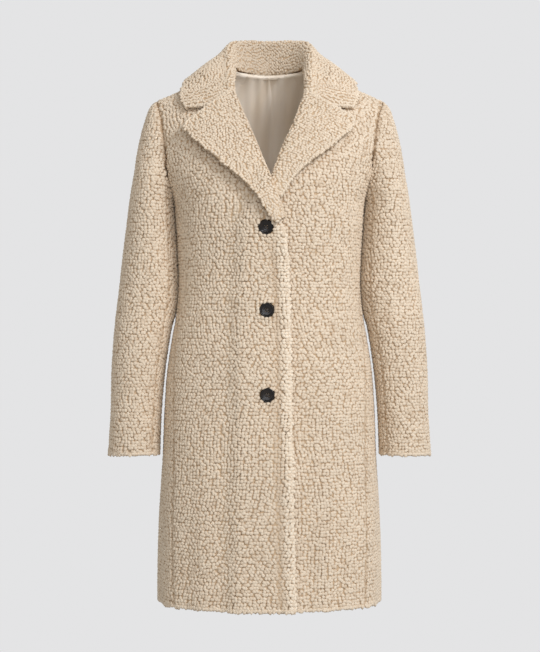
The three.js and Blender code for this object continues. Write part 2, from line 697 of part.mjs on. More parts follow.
function buttonSolid() {
  const holeRadius = 1.1;
  const spread = 2.6;
  const holes = [0, 1, 2, 3].map((k) => {
    const angle = Math.PI / 4 + (k * Math.PI) / 2;
    const hole = cylinder(holeRadius, -1, BUTTON_THICK + 1, 6);
    return hole.translate(spread * Math.cos(angle), spread * Math.sin(angle), 0);
  });
  return cut(buttonBlank(BUTTON_RADIUS, BUTTON_THICK), ...holes);
}

// Where a button sits: its back face, with +Z along the front's outward direction.
function buttonSeat({ x, z }) {
  const skin = frontSkin(-1, x, z);
  const normal = bodyNormal(body(frontAngle(x, z), z));
  const seat = skin.clone().addScaledVector(normal, -BUTTON_SUNK);
  const turn = new THREE.Quaternion().setFromUnitVectors(vec(0, 0, 1), normal);
  return { seat, turn };
}

// The hollow that a button presses into the pile of the right front.
function buttonHollow(place) {
  const { seat, turn } = buttonSeat(place);
  const hollow = cylinder(BUTTON_RADIUS + BUTTON_PLAY, -SEAM, BUTTON_SUNK + 6, 20);
  return hollow.applyQuaternion(turn).translate(seat.x, seat.y, seat.z);
}

const finish = (color, roughness, metalness = 0) => ({ color, roughness, metalness });
const FUR_FINISH = finish('#c8b192', 0.95);
const SATIN_FINISH = finish('#c3ae93', 0.45);
const BUTTON_FINISH = finish('#1d1916', 0.25);

const group = new THREE.Group();

function add(name, geometry, look) {
  geometry.computeVertexNormals();
  const mesh = new THREE.Mesh(geometry, new THREE.MeshStandardMaterial(look));
  mesh.name = name;
  group.add(mesh);
  return mesh;
}

const grownRight = frontPanel(-1, CUT_CLEAR);
const grownLeft = frontPanel(1, CUT_CLEAR);
const grownBack = backPanel(CUT_CLEAR);
const grownLapel = lapel(-1, LAPEL_RIGHT, CUT_CLEAR);
const grownFacing = lapel(1, LAPEL_LEFT, CUT_CLEAR);
const lapelRight = cut(lapel(-1, LAPEL_RIGHT), grownRight);
const lapelLeft = cut(lapel(1, LAPEL_LEFT), grownLeft, grownRight, grownLapel);
const neighbours = [grownRight, grownLeft, grownBack, grownLapel, grownFacing];

add('front_right', cut(frontPanel(-1), ...BUTTONS.map(buttonHollow)), FUR_FINISH);
add('front_left', frontPanel(1), FUR_FINISH);
add('back', backPanel(), FUR_FINISH);
add('sleeve_upper_right', upperSleeve(-1), FUR_FINISH);
add('sleeve_under_right', underSleeve(-1), FUR_FINISH);
add('sleeve_upper_left', upperSleeve(1), FUR_FINISH);
add('sleeve_under_left', underSleeve(1), FUR_FINISH);
add('lapel_right', lapelRight, FUR_FINISH);
add('lapel_left', lapelLeft, FUR_FINISH);
add('collar', cut(collar(), ...neighbours), FUR_FINISH);
add('lining_back', backLining(), SATIN_FINISH);
add('hanger_loop', hangerLoop(), SATIN_FINISH);
for (const place of BUTTONS) {
  const { seat, turn } = buttonSeat(place);
  const button = add(place.name, buttonSolid(), BUTTON_FINISH);
  button.quaternion.copy(turn);
  button.position.copy(seat);
}

export default group;
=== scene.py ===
# %% [markdown]
# A knee-length teddy coat, hollow and filled out as it is when worn. It is cut from a cloth with a
# knitted backing and a curled pile about 6 mm high, so each panel is made twice over: a thin smooth
# sheet for the backing, and thousands of small closed curls for the pile that stands on it.
# All sizes below are millimetres, and a mesh gets them in metres. +Z is up, -Y the front, +X the
# wearer's left, and the origin is the middle of the neck, level with the seam at the back.

import bpy
import numpy as np
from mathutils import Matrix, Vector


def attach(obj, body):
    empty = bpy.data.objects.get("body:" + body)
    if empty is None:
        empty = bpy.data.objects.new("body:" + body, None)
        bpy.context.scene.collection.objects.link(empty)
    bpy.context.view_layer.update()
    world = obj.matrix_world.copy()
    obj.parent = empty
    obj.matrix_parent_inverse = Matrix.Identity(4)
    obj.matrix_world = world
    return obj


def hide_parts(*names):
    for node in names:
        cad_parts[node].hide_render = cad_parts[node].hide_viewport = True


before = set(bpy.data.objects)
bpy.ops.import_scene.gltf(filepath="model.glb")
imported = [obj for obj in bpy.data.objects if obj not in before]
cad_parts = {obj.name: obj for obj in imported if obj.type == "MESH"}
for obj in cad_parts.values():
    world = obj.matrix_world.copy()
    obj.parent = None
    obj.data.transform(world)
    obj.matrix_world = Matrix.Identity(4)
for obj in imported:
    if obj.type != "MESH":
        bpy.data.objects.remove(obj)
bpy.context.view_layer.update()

# %% [markdown]
# A product photograph of a garment is taken from well back, level with its middle, so that the hem and
# the shoulders look equally wide. The camera stands 3 m away and frames 1.14 m of height. The coat is
# held up by its wearer, so it hangs clear above a pale floor that curves up into a backdrop.

# %% Camera and studio
MM = 0.001
CAMERA_AT = (0.0009, -3.0, -0.4375)
FRAMED_HEIGHT = 1.141
SENSOR = 36.0
FLOOR_Z = -1.75
FLOOR_RADIUS = 5.0
BOWL_RADIUS = 9.0
BOWL_HEIGHT = 7.0
BACKDROP_GREY = 0.775


def aim(thing, at, target):
    """Puts a camera or light at a point and turns its -Z axis towards the target."""
    towards = np.array(target) - np.array(at)
    thing.location = at
    thing.rotation_mode = "QUATERNION"
    thing.rotation_quaternion = Vector(towards).to_track_quat("-Z", "Y")


lens = bpy.data.cameras.new("camera")
lens.sensor_width = SENSOR
lens.lens = SENSOR * -CAMERA_AT[1] / FRAMED_HEIGHT
camera = bpy.data.objects.new("camera", lens)
bpy.context.scene.collection.objects.link(camera)
aim(camera, CAMERA_AT, (CAMERA_AT[0], 0, CAMERA_AT[2]))
bpy.context.scene.camera = camera
bpy.context.scene.view_settings.view_transform = "Standard"
print("the lens is", round(lens.lens, 1), "mm long")

# %% [markdown]
# The light comes from the upper right and front, from a box wide enough to leave only soft shadows
# under the collar and lapels. A weaker one in front opens the shadows, and the pale room does the rest.

# %% Lights
LIGHTS = {
    "key": {"at": (1.9, -2.5, 1.5), "size": 1.1, "watts": 74},
    "front": {"at": (0.5, -3.4, 0.5), "size": 1.6, "watts": 26},
    "rim": {"at": (0.8, 2.6, 1.2), "size": 2.0, "watts": 26},
}
ROOM_LIGHT = 0.47
LAMP_COLOUR = (0.97, 1.0, 1.07)

for name, light in LIGHTS.items():
    lamp = bpy.data.lights.new(name, "AREA")
    lamp.size = light["size"]
    lamp.energy = light["watts"]
    lamp.color = LAMP_COLOUR
    box = bpy.data.objects.new(name, lamp)
    bpy.context.scene.collection.objects.link(box)
    aim(box, light["at"], (0, 0, -0.4))

room = bpy.data.worlds.new("room")
room.use_nodes = True
room.node_tree.nodes["Background"].inputs["Color"].default_value = (1, 0.99, 0.975, 1)
room.node_tree.nodes["Background"].inputs["Strength"].default_value = ROOM_LIGHT
bpy.context.scene.world = room
print(len(LIGHTS), "lights and the room")

# %% [markdown]
# Every finish is a small tree of shader nodes. Writing trees as Python expressions keeps them short:
# a Wire is one output socket, and adding or multiplying wires adds the Math nodes that do it.

# %% Shader maths


class Wire:
    """One output socket of a material's nodes; arithmetic on it adds Math nodes."""

    def __init__(self, tree, socket=None):
        self.tree = tree
        self.socket = socket

    def node(self, kind, settings=(), sockets=(), out=0):
        """Adds any node: its settings first, then the values or wires of its sockets."""
        made = self.tree.nodes.new(kind)
        for name, value in dict(settings).items():
            setattr(made, name, value)
        for key, value in dict(sockets).items():
            if isinstance(value, Wire):
                self.tree.links.new(value.socket, made.inputs[key])
            else:
                made.inputs[key].default_value = value
        return Wire(self.tree, made.outputs[out])

    def math(self, operation, first, second):
        return self.node("ShaderNodeMath", {"operation": operation}, {0: first, 1: second})

    def __add__(self, other):
        return self.math("ADD", self, other)

    def __sub__(self, other):
        return self.math("SUBTRACT", self, other)

    def __rsub__(self, other):
        return self.math("SUBTRACT", other, self)

    def __mul__(self, other):
        return self.math("MULTIPLY", self, other)

    __radd__ = __add__
    __rmul__ = __mul__

    def eased(self, low, high):
        """0 below low, 1 above high, and a smooth step between."""
        settings = {"interpolation_type": "SMOOTHSTEP"}
        return self.node("ShaderNodeMapRange", settings, {0: self, 1: low, 2: high})

    def noise(self, place, scale, detail=2.0, roughness=0.5):
        sockets = {"Vector": place, "Scale": scale, "Detail": detail, "Roughness": roughness}
        return self.node("ShaderNodeTexNoise", (), sockets)

    def attribute(self, name):
        return self.node("ShaderNodeAttribute", {"attribute_name": name}, out="Fac")

    def tint(self, share, first, second, how="MIX"):
        """Mixes two colours, or a colour with a wire, by a share."""
        settings = {"data_type": "RGBA", "blend_type": how}
        return self.node("ShaderNodeMix", settings, {0: share, 6: first, 7: second}, out=2)

    def bump(self, height, strength, distance):
        sockets = {"Height": height, "Strength": strength, "Distance": distance}
        return self.node("ShaderNodeBump", (), sockets)


def colour(red, green, blue):
    """A screen colour from 0 to 255 as the light that it stands for."""
    share = np.array([red, green, blue]) / 255
    light = np.where(share <= 0.04045, share / 12.92, ((share + 0.055) / 1.055) ** 2.4)
    return (*light.tolist(), 1.0)


def material(name, constants):
    """A new material, its first wire and its shader, with the constants set on the shader."""
    made = bpy.data.materials.new(name)
    made.use_nodes = True
    tree = made.node_tree
    shader = tree.nodes["Principled BSDF"]
    for socket, value in constants.items():
        shader.inputs[socket].default_value = value
    start = Wire(tree)

    def feed(socket, wire):
        tree.links.new(wire.socket, shader.inputs[socket])

    return made, start, feed


print("a wire adds nodes of any type")

# %% [markdown]
# Teddy pile is made of fine curled fibres that cling together in small curls. The light goes a little
# way into them, so the tips are pale, the gaps between curls are brown and no edge is hard; here that
# is painted into the colour, as a painted highlight on the tips and painted shade at the roots. The
# colour follows three numbers that each curl carries: how high a point is on it, its tone, and how deep
# in a crease of the cloth it stands, which paints shade into creases, seams and the groove. The tone is
# random, but the front's turned edge takes one above 1, painted light that makes it pale to its roots,
# and the inside of the collar's stand one below 0, painted shade. Fibres much thinner than a curl are
# left to bump.

# %% Finish of the pile
# The root and crease colours are painted shade, and the pale one is a painted highlight on the tips.
PILE_ROOT_SHADE = colour(214, 190, 160)
PILE_TIP = colour(227, 208, 183)
PILE_TIP_HIGHLIGHT = colour(236, 221, 199)
PILE_CREASE_SHADE = colour(190, 163, 132)


def pile_finish(name, depth):
    """Pile: painted highlight on the tips, painted shade at the roots; depth scales the painted crease
    shade.
    """
    constants = {
        "Roughness": 0.9,
        "Specular IOR Level": 0.18,
        "Sheen Weight": 0.3,
        "Sheen Roughness": 0.45,
        "Sheen Tint": colour(255, 244, 226),
    }
    made, start, feed = material(name, constants)
    place = start.node("ShaderNodeTexCoord", out="Object")
    rise = start.attribute("rise")
    tone_and_painted_light = start.attribute("tone_and_painted_light")
    crease = start.attribute("crease")
    patches = start.noise(place, 9.0, 3.0, 0.6)
    # Painted shade at the roots, taken away where the tone is above 1.
    without_root_shade = tone_and_painted_light.eased(1.0, 2.0)
    body = start.tint(rise.eased(0.3, 0.9) + without_root_shade, PILE_ROOT_SHADE, PILE_TIP)
    # Painted highlight on the tips.
    tip_highlighted = start.tint(rise.eased(0.6, 1.0) * tone_and_painted_light * 0.4, body, PILE_TIP_HIGHLIGHT)
    # Painted shade in the creases, the seams and the groove.
    crease_shaded = start.tint(crease * depth, tip_highlighted, PILE_CREASE_SHADE)
    # Random mottle and tone; with the tone come the painted light of the turned edge and the painted shade
    # of the stand.
    mottle_and_painted_light = patches.eased(0.3, 0.7) * 0.06 + tone_and_painted_light * 0.05 + 0.92
    grey = start.node("ShaderNodeCombineColor", (), {0: mottle_and_painted_light, 1: mottle_and_painted_light, 2: mottle_and_painted_light})
    feed("Base Color", start.tint(1.0, crease_shaded, grey, "MULTIPLY"))
    fibres = start.noise(place, 1500.0, 3.0, 0.7)
    feed("Normal", start.bump(fibres, 0.35, 0.0008))
    return made


teddy = pile_finish("teddy_pile", 0.75)
fine_teddy = pile_finish("fine_teddy_pile", 0.5)
print("the pile has", len(teddy.node_tree.nodes), "nodes")

# %% [markdown]
# Under the pile is a knitted backing, coloured a darker brown than the curls as painted shade for the
# gaps between them, and inside the coat it is faced with the lining's satin. Both are seen only a
# little, so their knit and weave are bump and a few percent of colour, drawn on the piece's own UV map,
# which is in metres along and across the cloth.

# %% Finishes of the backing and the satin
# The backing's brown is painted shade for the gaps between curls.
BACKING_SHADE = colour(190, 163, 131)
# Lit and shaded copies of the satin's colour, mixed in streaks as painted sheen and fold shade.
SATIN_LIT = colour(250, 238, 221)
SATIN_SHADED = colour(232, 215, 192)
WEAVE_PITCH = 0.0009


def backing_finish():
    """Knit: rows of small loops, as a fine noise of bump over slow patches of colour."""
    made, start, feed = material("knit_backing", {"Roughness": 0.95, "Specular IOR Level": 0.1})
    place = start.node("ShaderNodeTexCoord", out="Object")
    patches = start.noise(place, 60.0, 3.0)
    feed("Base Color", start.tint(patches, BACKING_SHADE, colour(202, 176, 144)))
    feed("Normal", start.bump(start.noise(place, 900.0, 2.0), 0.3, 0.0005))
    return made


def satin_finish():
    """Satin: long floats across the cloth, so its bump is noise drawn out along one direction."""
    constants = {
        "Roughness": 0.42,
        "Specular IOR Level": 0.35,
        "Sheen Weight": 0.25,
        "Sheen Roughness": 0.35,
        "Sheen Tint": colour(255, 240, 222),
    }
    made, start, feed = material("satin_lining", constants)
    cloth = start.node("ShaderNodeTexCoord", out="UV")
    drawn = start.node("ShaderNodeMapping", (), {"Vector": cloth, "Scale": (220, 900, 1)})
    floats = start.noise(drawn, 1.0, 2.0)
    # Painted sheen and fold shade: broad streaks along the cloth between the lit and the shaded colour.
    sweep = start.node("ShaderNodeMapping", (), {"Vector": cloth, "Scale": (30, 4, 1)})
    folds = start.noise(sweep, 1.0, 2.0)
    feed("Base Color", start.tint(folds.eased(0.3, 0.7), SATIN_SHADED, SATIN_LIT))
    feed("Normal", start.bump(floats, 0.12, WEAVE_PITCH))
    return made


backing = backing_finish()
satin = satin_finish()
print("the satin's floats are", WEAVE_PITCH * 1000, "mm")

# %% [markdown]
# The buttons are cast in near-black resin and polished, with a faint brown marbling, and the pale
# backdrop shows in them as a soft gleam round the rim.

# %% Finish of the buttons


def button_finish():
    """Polished resin with slow brown clouds, which its gloss and coat follow."""
    constants = {"Specular IOR Level": 0.2, "Coat Roughness": 0.06, "Coat IOR": 1.5}
    made, start, feed = material("button_resin", constants)
    place = start.node("ShaderNodeTexCoord", out="Object")
    clouds = start.noise(place, 140.0, 4.0, 0.6)
    feed("Base Color", start.tint(clouds.eased(0.35, 0.75), colour(14, 11, 10), colour(38, 28, 21)))
    feed("Roughness", clouds * 0.12 + 0.16)
    feed("Coat Weight", 0.2 - clouds * 0.1)
    return made


def thread_finish():
    """Twisted thread: a fine wave of bump along the strand."""
    made, start, feed = material("thread", {"Roughness": 0.7, "Sheen Weight": 0.3})
    place = start.node("ShaderNodeTexCoord", out="Object")
    strands = start.noise(place, 2500.0, 1.0)
    feed("Base Color", start.tint(strands, colour(36, 30, 26), colour(66, 54, 44)))
    feed("Normal", start.bump(strands, 0.4, 0.0003))
    return made


resin = button_finish()
thread = thread_finish()
print("six finishes for cloth and buttons")

# %% [markdown]
# A garment's outline is a handful of smooth curves: how wide the body is at each height, where the
# armhole runs, where the front edge lies. Each is a short table with a smooth curve through its rows.

# %% Curves through tables


def mix(first, second, share):
    return first + (second - first) * share


def ease(value, low, high):
    """0 at low, 1 at high, level at both: 3 t squared less 2 t cubed."""
    t = np.clip((value - low) / (high - low), 0, 1)
    return t * t * (3 - 2 * t)


def unit(vectors):
    return vectors / np.maximum(np.linalg.norm(vectors, axis=-1, keepdims=True), 1e-9)


def power(value, exponent):
    """A power that keeps the sign."""
    return np.sign(value) * np.abs(value) ** exponent


def cubic(t, start, end, leaving, arriving):
    """The cubic from start to end that leaves and arrives with the given slopes."""
    rise = 3 * t**2 - 2 * t**3
    return (1 - rise) * start + rise * end + (t**3 - 2 * t**2 + t) * leaving + (t**3 - t**2) * arriving


def curve(table, column):
    """One column of a table as a smooth function of height: cubics whose slope at each row is that of
    the chord between its two neighbours."""
    z = np.array(table["z"], float)[::-1]
    y = np.array(table[column], float)[::-1]
    before = np.maximum(np.arange(len(z)) - 1, 0)
    after = np.minimum(np.arange(len(z)) + 1, len(z) - 1)
    slope = (y[after] - y[before]) / (z[after] - z[before])

    def at(height):
        h = np.clip(height, z[0], z[-1])
        i = np.clip(np.searchsorted(z, h, side="right") - 1, 0, len(z) - 2)
        span = z[i + 1] - z[i]
        return cubic((h - z[i]) / span, y[i], y[i + 1], span * slope[i], span * slope[i + 1])

    return at


def through(points, samples):
    """A smooth line through points, read at samples from 0 to 1: cubics whose knots are spaced by the
    square root of the distance between points, with a mirrored point beyond each end."""
    points = np.asarray(points, float)
    ends = 2 * points[[0, -1]] - points[[1, -2]]
    padded = np.concatenate([ends[:1], points, ends[1:]])
    gap = np.sqrt(np.maximum(np.linalg.norm(np.diff(padded, axis=0), axis=-1, keepdims=True), 1e-6))
    last = len(points) - 1
    at = np.asarray(samples, float) * last
    i = np.minimum(at.astype(int), last - 1)
    t = (at - i).reshape((-1,) + (1,) * (points.ndim - 1))
    a, b, c, d = (padded[i + k] for k in range(4))
    ab, bc, cd = (gap[i + k] for k in range(3))
    leaving = ((b - a) / ab - (c - a) / (ab + bc) + (c - b) / bc) * bc
    arriving = ((c - b) / bc - (d - b) / (bc + cd) + (d - c) / cd) * bc
    return cubic(t, b, c, leaving, arriving)


print("a curve reads a table at any height")

# %% [markdown]
# The body of the coat is a rounded square in section, wider at the hem, that closes over the shoulders.
# It is the shape that a dressmaker's form gives a coat, so the tables hold a few measurements of such
# a form: half the width, and the depth in front of and behind the side line.

# %% Driving sizes and tables
FUR = 8.0
SEAM = 0.35
LAP_CLEARANCE = 1.2
LAP_RAMP = 42.0
LAP_LEAD = 9.0
BAND_WIDTH = 25.0
BAND_PUFF = 3.0
# How far the turned edge's tone is raised, as painted light.
BAND_PAINTED_LIGHT = 1.3
NECK_SIDE_X = 64.0
NECK_SIDE_Z = 12.0
NECK_BACK_Z = 8.0
NECK_SOFT = 40.0
SHOULDER_TIP_X = 199.5
SHOULDER_TIP_Z = -44.0
SHOULDER_ROUND = 140.0
UNDERARM_Z = -217.0
HEM_Z = -915.0
CUFF_Z = -660.0
LINING_HEM_Z = -885.0
SQUARENESS = 2.4

BODY = {
    "z": [40, 12, -44, -77, -119, -175, -217, -257, -313,
          -369, -411, -445, -516, -588, -663, -770, -868, -920],
    "half_width": [214, 214, 212, 207, 198, 182, 166, 162, 158.5,
                   157, 161, 168, 179, 184, 187, 194, 197, 197],
    "front": [68, 72, 92, 101, 112, 126, 131, 129, 123, 119, 119, 121, 125, 128, 132, 138, 143, 146],
    "back": [98, 99, 105, 112, 119, 121, 118, 113, 106, 103, 107, 113, 124, 130, 134, 139, 143, 145],
}
ARMHOLE = {"z": [-44, -60, -77, -119, -175, -200, -217], "x": [199.5, 194, 189, 182.5, 175, 169.5, 166]}
SIDE_SEAM = {"z": [-217, -300, -369, -445, -520, -700, -920], "degrees": [90, 86, 80, 72, 65, 58, 53]}
RIGHT_EDGE = {
    "z": [12, -12, -37, -60, -95, -141, -185, -225, -262, -283, -394, -633, -920],
    "x": [-64, -66, -67.5, -58.5, -44, -25, -7.5, 8.5, 21.5, 30, 36, 40, 46],
}
LEFT_EDGE = {
    "z": [12, -12, -41, -62, -95, -145, -190, -225, -255, -283, -394, -633, -920],
    "x": [64, 66, 67, 60, 48, 26, 9.5, -7, -22, -27, -33, -37, -42],
}
FOLDS = {
    "degrees": [16, 33, 47, -20, -41, 78, -76, 112, -116, 146, -148, 178],
    "width": [5, 6, 5, 8, 7, 9, 9, 9, 9, 9, 10, 8],
    "depth": [4, 5, 3.5, 2.5, 4, 5, 5, 6, 6, 6, 5, 6],
    "start": [-330, -560, -640, -480, -600, -560, -600, -470, -520, -560, -500, -540],
}

half_width = curve(BODY, "half_width")
front_depth = curve(BODY, "front")
back_depth = curve(BODY, "back")
armhole_x = curve(ARMHOLE, "x")
side_seam = curve(SIDE_SEAM, "degrees")
right_edge = curve(RIGHT_EDGE, "x")
left_edge = curve(LEFT_EDGE, "x")
print("the waist is", 2 * half_width(-369.0), "mm wide and the hem", 2 * half_width(HEM_Z), "mm")

# %% [markdown]
# With those curves the whole body is one formula. A point of it is found from an angle round the body
# and a height; how steeply the formula changes in each direction gives the outward direction there,
# along which folds are pressed in and linings are set back.

# %% The body's surface


def neck_reach(x):
    return np.hypot(x, NECK_SOFT) - np.hypot(NECK_SIDE_X, NECK_SOFT)


SHOULDER_SLOPE = (NECK_SIDE_Z - SHOULDER_TIP_Z) / neck_reach(SHOULDER_TIP_X)


def shoulder_line(x):
    return NECK_SIDE_Z - SHOULDER_SLOPE * neck_reach(x)


def shoulder_rise(x, z):
    """1 on the shoulder line, falling to 0 on the chest."""
    return np.maximum(0, 1 - (shoulder_line(x) - z) / SHOULDER_ROUND)


def body_depth(y, z):
    return np.where(y < 0, front_depth(z), back_depth(z))


def body_form(p):
    """0 on the surface and more outside it: on the chest the sum of the width's and the depth's shares
    to the power of the squareness; over the shoulder the squares of the depth's share and the rise."""
    x, y, z = p[..., 0], p[..., 1], p[..., 2]
    across = (np.abs(x) / half_width(z)) ** SQUARENESS
    depth = np.abs(y) / body_depth(y, z)
    rise = shoulder_rise(x, z)
    room = np.maximum(1 - across, 0.02) ** (1 / SQUARENESS)
    return np.where(rise == 0, across + depth**SQUARENESS - 1, (depth / room) ** 2 + rise**2 - 1)


def body_normal(p):
    """The direction in which the form grows fastest, from its change over 0.4 mm each way."""
    steps = 0.4 * np.eye(3)
    return unit(np.stack([body_form(p + step) - body_form(p - step) for step in steps], -1))


def fold_depth(angle, z):
    """The sum of the upright troughs: each a bell across its angle that deepens towards the hem."""
    degrees, width, depth, start = (np.array(FOLDS[key], float) for key in FOLDS)
    away = (np.degrees(angle)[..., None] - degrees + 540) % 360 - 180
    grown = ease(start - z[..., None], 0, start - HEM_Z)
    return (depth * grown * np.exp(-((away / width) ** 2))).sum(-1)


def body(angle, z, out=0.0):
    """A point of the coat's outer surface, moved out: its width follows the sine of the angle and its
    depth the cosine, each to a power below 1, which squares the oval."""
    angle, z = np.broadcast_arrays(np.asarray(angle, float), np.asarray(z, float))
    x = half_width(z) * power(np.sin(angle), 2 / SQUARENESS)
    around = np.sqrt(np.maximum(1 - shoulder_rise(x, z) ** 2, 0))
    y = -power(np.cos(angle), 2 / SQUARENESS)
    p = np.stack([x, y * body_depth(y, z) * around, z], -1)
    return p + body_normal(p) * (out - fold_depth(angle, z))[..., None]


def front_angle(x, z):
    """The angle at which the front half has a given x."""
    return np.sign(x) * np.arcsin(np.clip((np.abs(x) / half_width(z)) ** (SQUARENESS / 2), 0, 1))


def body_x(angle, z):
    return half_width(z) * power(np.sin(angle), 2 / SQUARENESS)


print("the chest is", round(float(-body(0.0, -217.0)[1] + body(np.pi, -217.0)[1])), "mm deep")

# %% [markdown]
# Each panel is kept as a grid of points on the coat's outside, row by row from the top and across from
# one seam to the other. The panel notes which of its four edges are sewn and which are free, because
# the pile lies low in a seam and rolls round a free edge.

# %% A panel


class Panel:
    """A piece's outer surface: points, outward normals, and how far each point is from a sewn edge.
    Thickness, painted light and shade of the pile, and a groove are fields over the same grid."""

    def __init__(self, name, points, outward, **edges):
        normal = np.cross(np.gradient(points, axis=0), np.gradient(points, axis=1))
        if (normal * outward).sum() < 0:
            points = points[:, ::-1]
            normal = -normal[:, ::-1]
            edges["first"], edges["last"] = edges["last"], edges["first"]
        self.name = name
        self.points = points
        self.normals = unit(normal)
        self.edges = edges
        self.from_seam = self.away("seam")
        self.top = 0.0
        self.thick = np.ones((1, 1))
        self.painted_light_and_shade = np.zeros((1, 1))
        self.groove = np.zeros((1, 1))
        self.shown = lambda place: np.ones(len(place), bool)

    def away(self, kind):
        """Distances, measured along the rows and columns, to the nearest edge of one kind."""
        down = np.linalg.norm(np.diff(self.points, axis=0), axis=-1)
        along = np.linalg.norm(np.diff(self.points, axis=1), axis=-1)
        down = np.concatenate([np.zeros_like(down[:1]), np.cumsum(down, 0)])
        along = np.concatenate([np.zeros_like(along[:, :1]), np.cumsum(along, 1)], 1)
        reach = {
            "top": down,
            "bottom": down[-1:] - down,
            "first": along,
            "last": along[:, -1:] - along,
        }
        found = [reach[edge] for edge, is_kind in self.edges.items() if is_kind == kind]
        return np.minimum.reduce(found) if found else np.full(self.points.shape[:2], 1e3)


def read(field, row, column):
    """A grid's value at fractions of its rows and columns, by the shares of the four points around."""
    i = np.minimum(row.astype(int), field.shape[0] - 2)
    j = np.minimum(column.astype(int), field.shape[1] - 2)
    s, t = row - i, column - j
    if field.ndim == 3:
        s, t = s[:, None], t[:, None]
    upper = mix(field[i, j], field[i, j + 1], t)
    lower = mix(field[i + 1, j], field[i + 1, j + 1], t)
    return mix(upper, lower, s)


print("a panel knows its seams")

# %% [markdown]
# The two fronts share the body's formula. Above the underarm their rows fan out between the front edge
# and the armhole, below it they are level. The right front laps over the left one, so it is lifted
# where they meet, and its turned edge is a little thicker than the cloth beside it.

# %% The fronts
CHEST_DOWN = 56
SKIRT_DOWN = 160
FAN_POWER = 1.6


def front_lift(side, x, z):
    """How far the right front stands off: the lap's smooth ramp and the swell of its turned edge."""
    if side > 0:
        return np.zeros_like(x)
    lap = (FUR + LAP_CLEARANCE) * ease(x, left_edge(z) - LAP_RAMP, left_edge(z) - LAP_LEAD)
    inward = (right_edge(z) - x) / BAND_WIDTH
    swell = np.sin(np.pi * np.clip(inward, 0, 1) ** 0.7) * ease(-z, 235, 275)
    return lap + BAND_PUFF * swell


def front_skin(side, x, z, out=0.0):
    return body(front_angle(x, z), z, out + front_lift(side, x, z))


def front_grid(side, columns):
    """Chest rows run from a point of the front edge to one of the armhole, spaced round the curve by a
    sine; skirt rows take equal steps of the angle round the body."""
    edge = right_edge if side < 0 else left_edge
    t = np.linspace(0, 1, columns)[None]
    w = np.linspace(0, 1, CHEST_DOWN)[:, None] ** FAN_POWER
    arm_z = mix(SHOULDER_TIP_Z, UNDERARM_Z, w)
    edge_z = mix(NECK_SIDE_Z, UNDERARM_Z, w)
    arm_x = side * (armhole_x(arm_z) - SEAM)
    turn = mix(0.5, np.pi / 2, w)
    under = np.array(UNDERARM_Z)
    level = mix(front_angle(edge(under), under), side * np.pi / 2, t)
    level_share = (body_x(level, under) - edge(under)) / (side * half_width(under) - edge(under))
    share = mix(np.sin(t * turn) / np.sin(turn), level_share, w**2)
    x = mix(edge(edge_z), arm_x, share)
    straight = mix(NECK_SIDE_Z, SHOULDER_TIP_Z, share)
    z = mix(edge_z, arm_z, share) + (1 - w) ** 6 * (shoulder_line(x) - straight)
    chest = front_skin(side, x, z)
    chest[..., 1] = np.minimum(chest[..., 1], -SEAM / 2)
    down = mix(UNDERARM_Z, HEM_Z, np.linspace(0, 1, SKIRT_DOWN)[1:, None])
    end = side * (np.radians(side_seam(down)) - SEAM / 2 / half_width(down))
    angle = mix(front_angle(edge(down), down), end, t)
    skirt = body(angle, down, front_lift(side, body_x(angle, down), down))
    return np.concatenate([chest, skirt])


def torso_panel(name, grid, **edges):
    return Panel(name, grid, body_normal(grid), **edges)


FRONT_EDGES = {"top": "seam", "bottom": "free", "first": "free", "last": "seam"}
front_right = torso_panel("front_right", front_grid(-1, 48), **FRONT_EDGES)
front_left = torso_panel("front_left", front_grid(1, 48), **FRONT_EDGES)
band = (right_edge(front_right.points[..., 2]) - front_right.points[..., 0]) / BAND_WIDTH
below_lapel = ease(-front_right.points[..., 2], 262, 280)
# Painted light: below the lapel the curls of the turned edge take a higher tone, pale to their roots, where
# its roll catches the lamp.
front_right.painted_light_and_shade = BAND_PAINTED_LIGHT * ease(-band, -0.9, -0.7) * below_lapel
# The groove beside the turned edge shortens its curls and takes painted shade.
front_right.groove = np.exp(-(((band - 1.05) / 0.16) ** 2)) * below_lapel
print("each front has", front_left.points.shape[:2], "points")

# %% [markdown]
# The back is one panel from side seam to side seam. The same grid, set inwards, carries the lining.

# %% The back


def back_grid(columns, out=0.0, inset=0.0, hem=HEM_Z, neck=0.0):
    """Chest rows are spread by a sine between the armholes and hang from the neck and shoulder line;
    skirt rows take equal steps of the angle round the back."""
    t = np.linspace(1, -1, columns)[None]
    w = np.linspace(0, 1, CHEST_DOWN)[:, None] ** FAN_POWER
    arm_z = mix(SHOULDER_TIP_Z, UNDERARM_Z, w)
    reach = armhole_x(arm_z) - SEAM - inset
    turn = mix(0.5, np.pi / 2, w)
    level = power(np.sin(t * np.pi / 2), 2 / SQUARENESS)
    x = reach * mix(np.sin(t * turn) / np.sin(turn), level, w**2)
    top_x = x * (SHOULDER_TIP_X - SEAM) / reach
    neck_z = NECK_BACK_Z + (NECK_SIDE_Z - NECK_BACK_Z) * (top_x / NECK_SIDE_X) ** 2
    top = np.where(np.abs(top_x) > NECK_SIDE_X, shoulder_line(top_x), neck_z)
    z = mix(top - neck, UNDERARM_Z, w)
    chest = body(np.pi - front_angle(x, z), z, out)
    chest[..., 1] = np.maximum(chest[..., 1], SEAM / 2)
    down = mix(UNDERARM_Z, hem, np.linspace(0, 1, SKIRT_DOWN)[1:, None])
    end = np.pi - np.radians(side_seam(down)) - (SEAM / 2 + inset) / half_width(down)
    return np.concatenate([chest, body(np.pi - t * end, down, out)])


BACK_EDGES = {"top": "seam", "bottom": "free", "first": "seam", "last": "seam"}
back = torso_panel("back", back_grid(120), **BACK_EDGES)
print("the back has", back.points.shape[:2], "points")

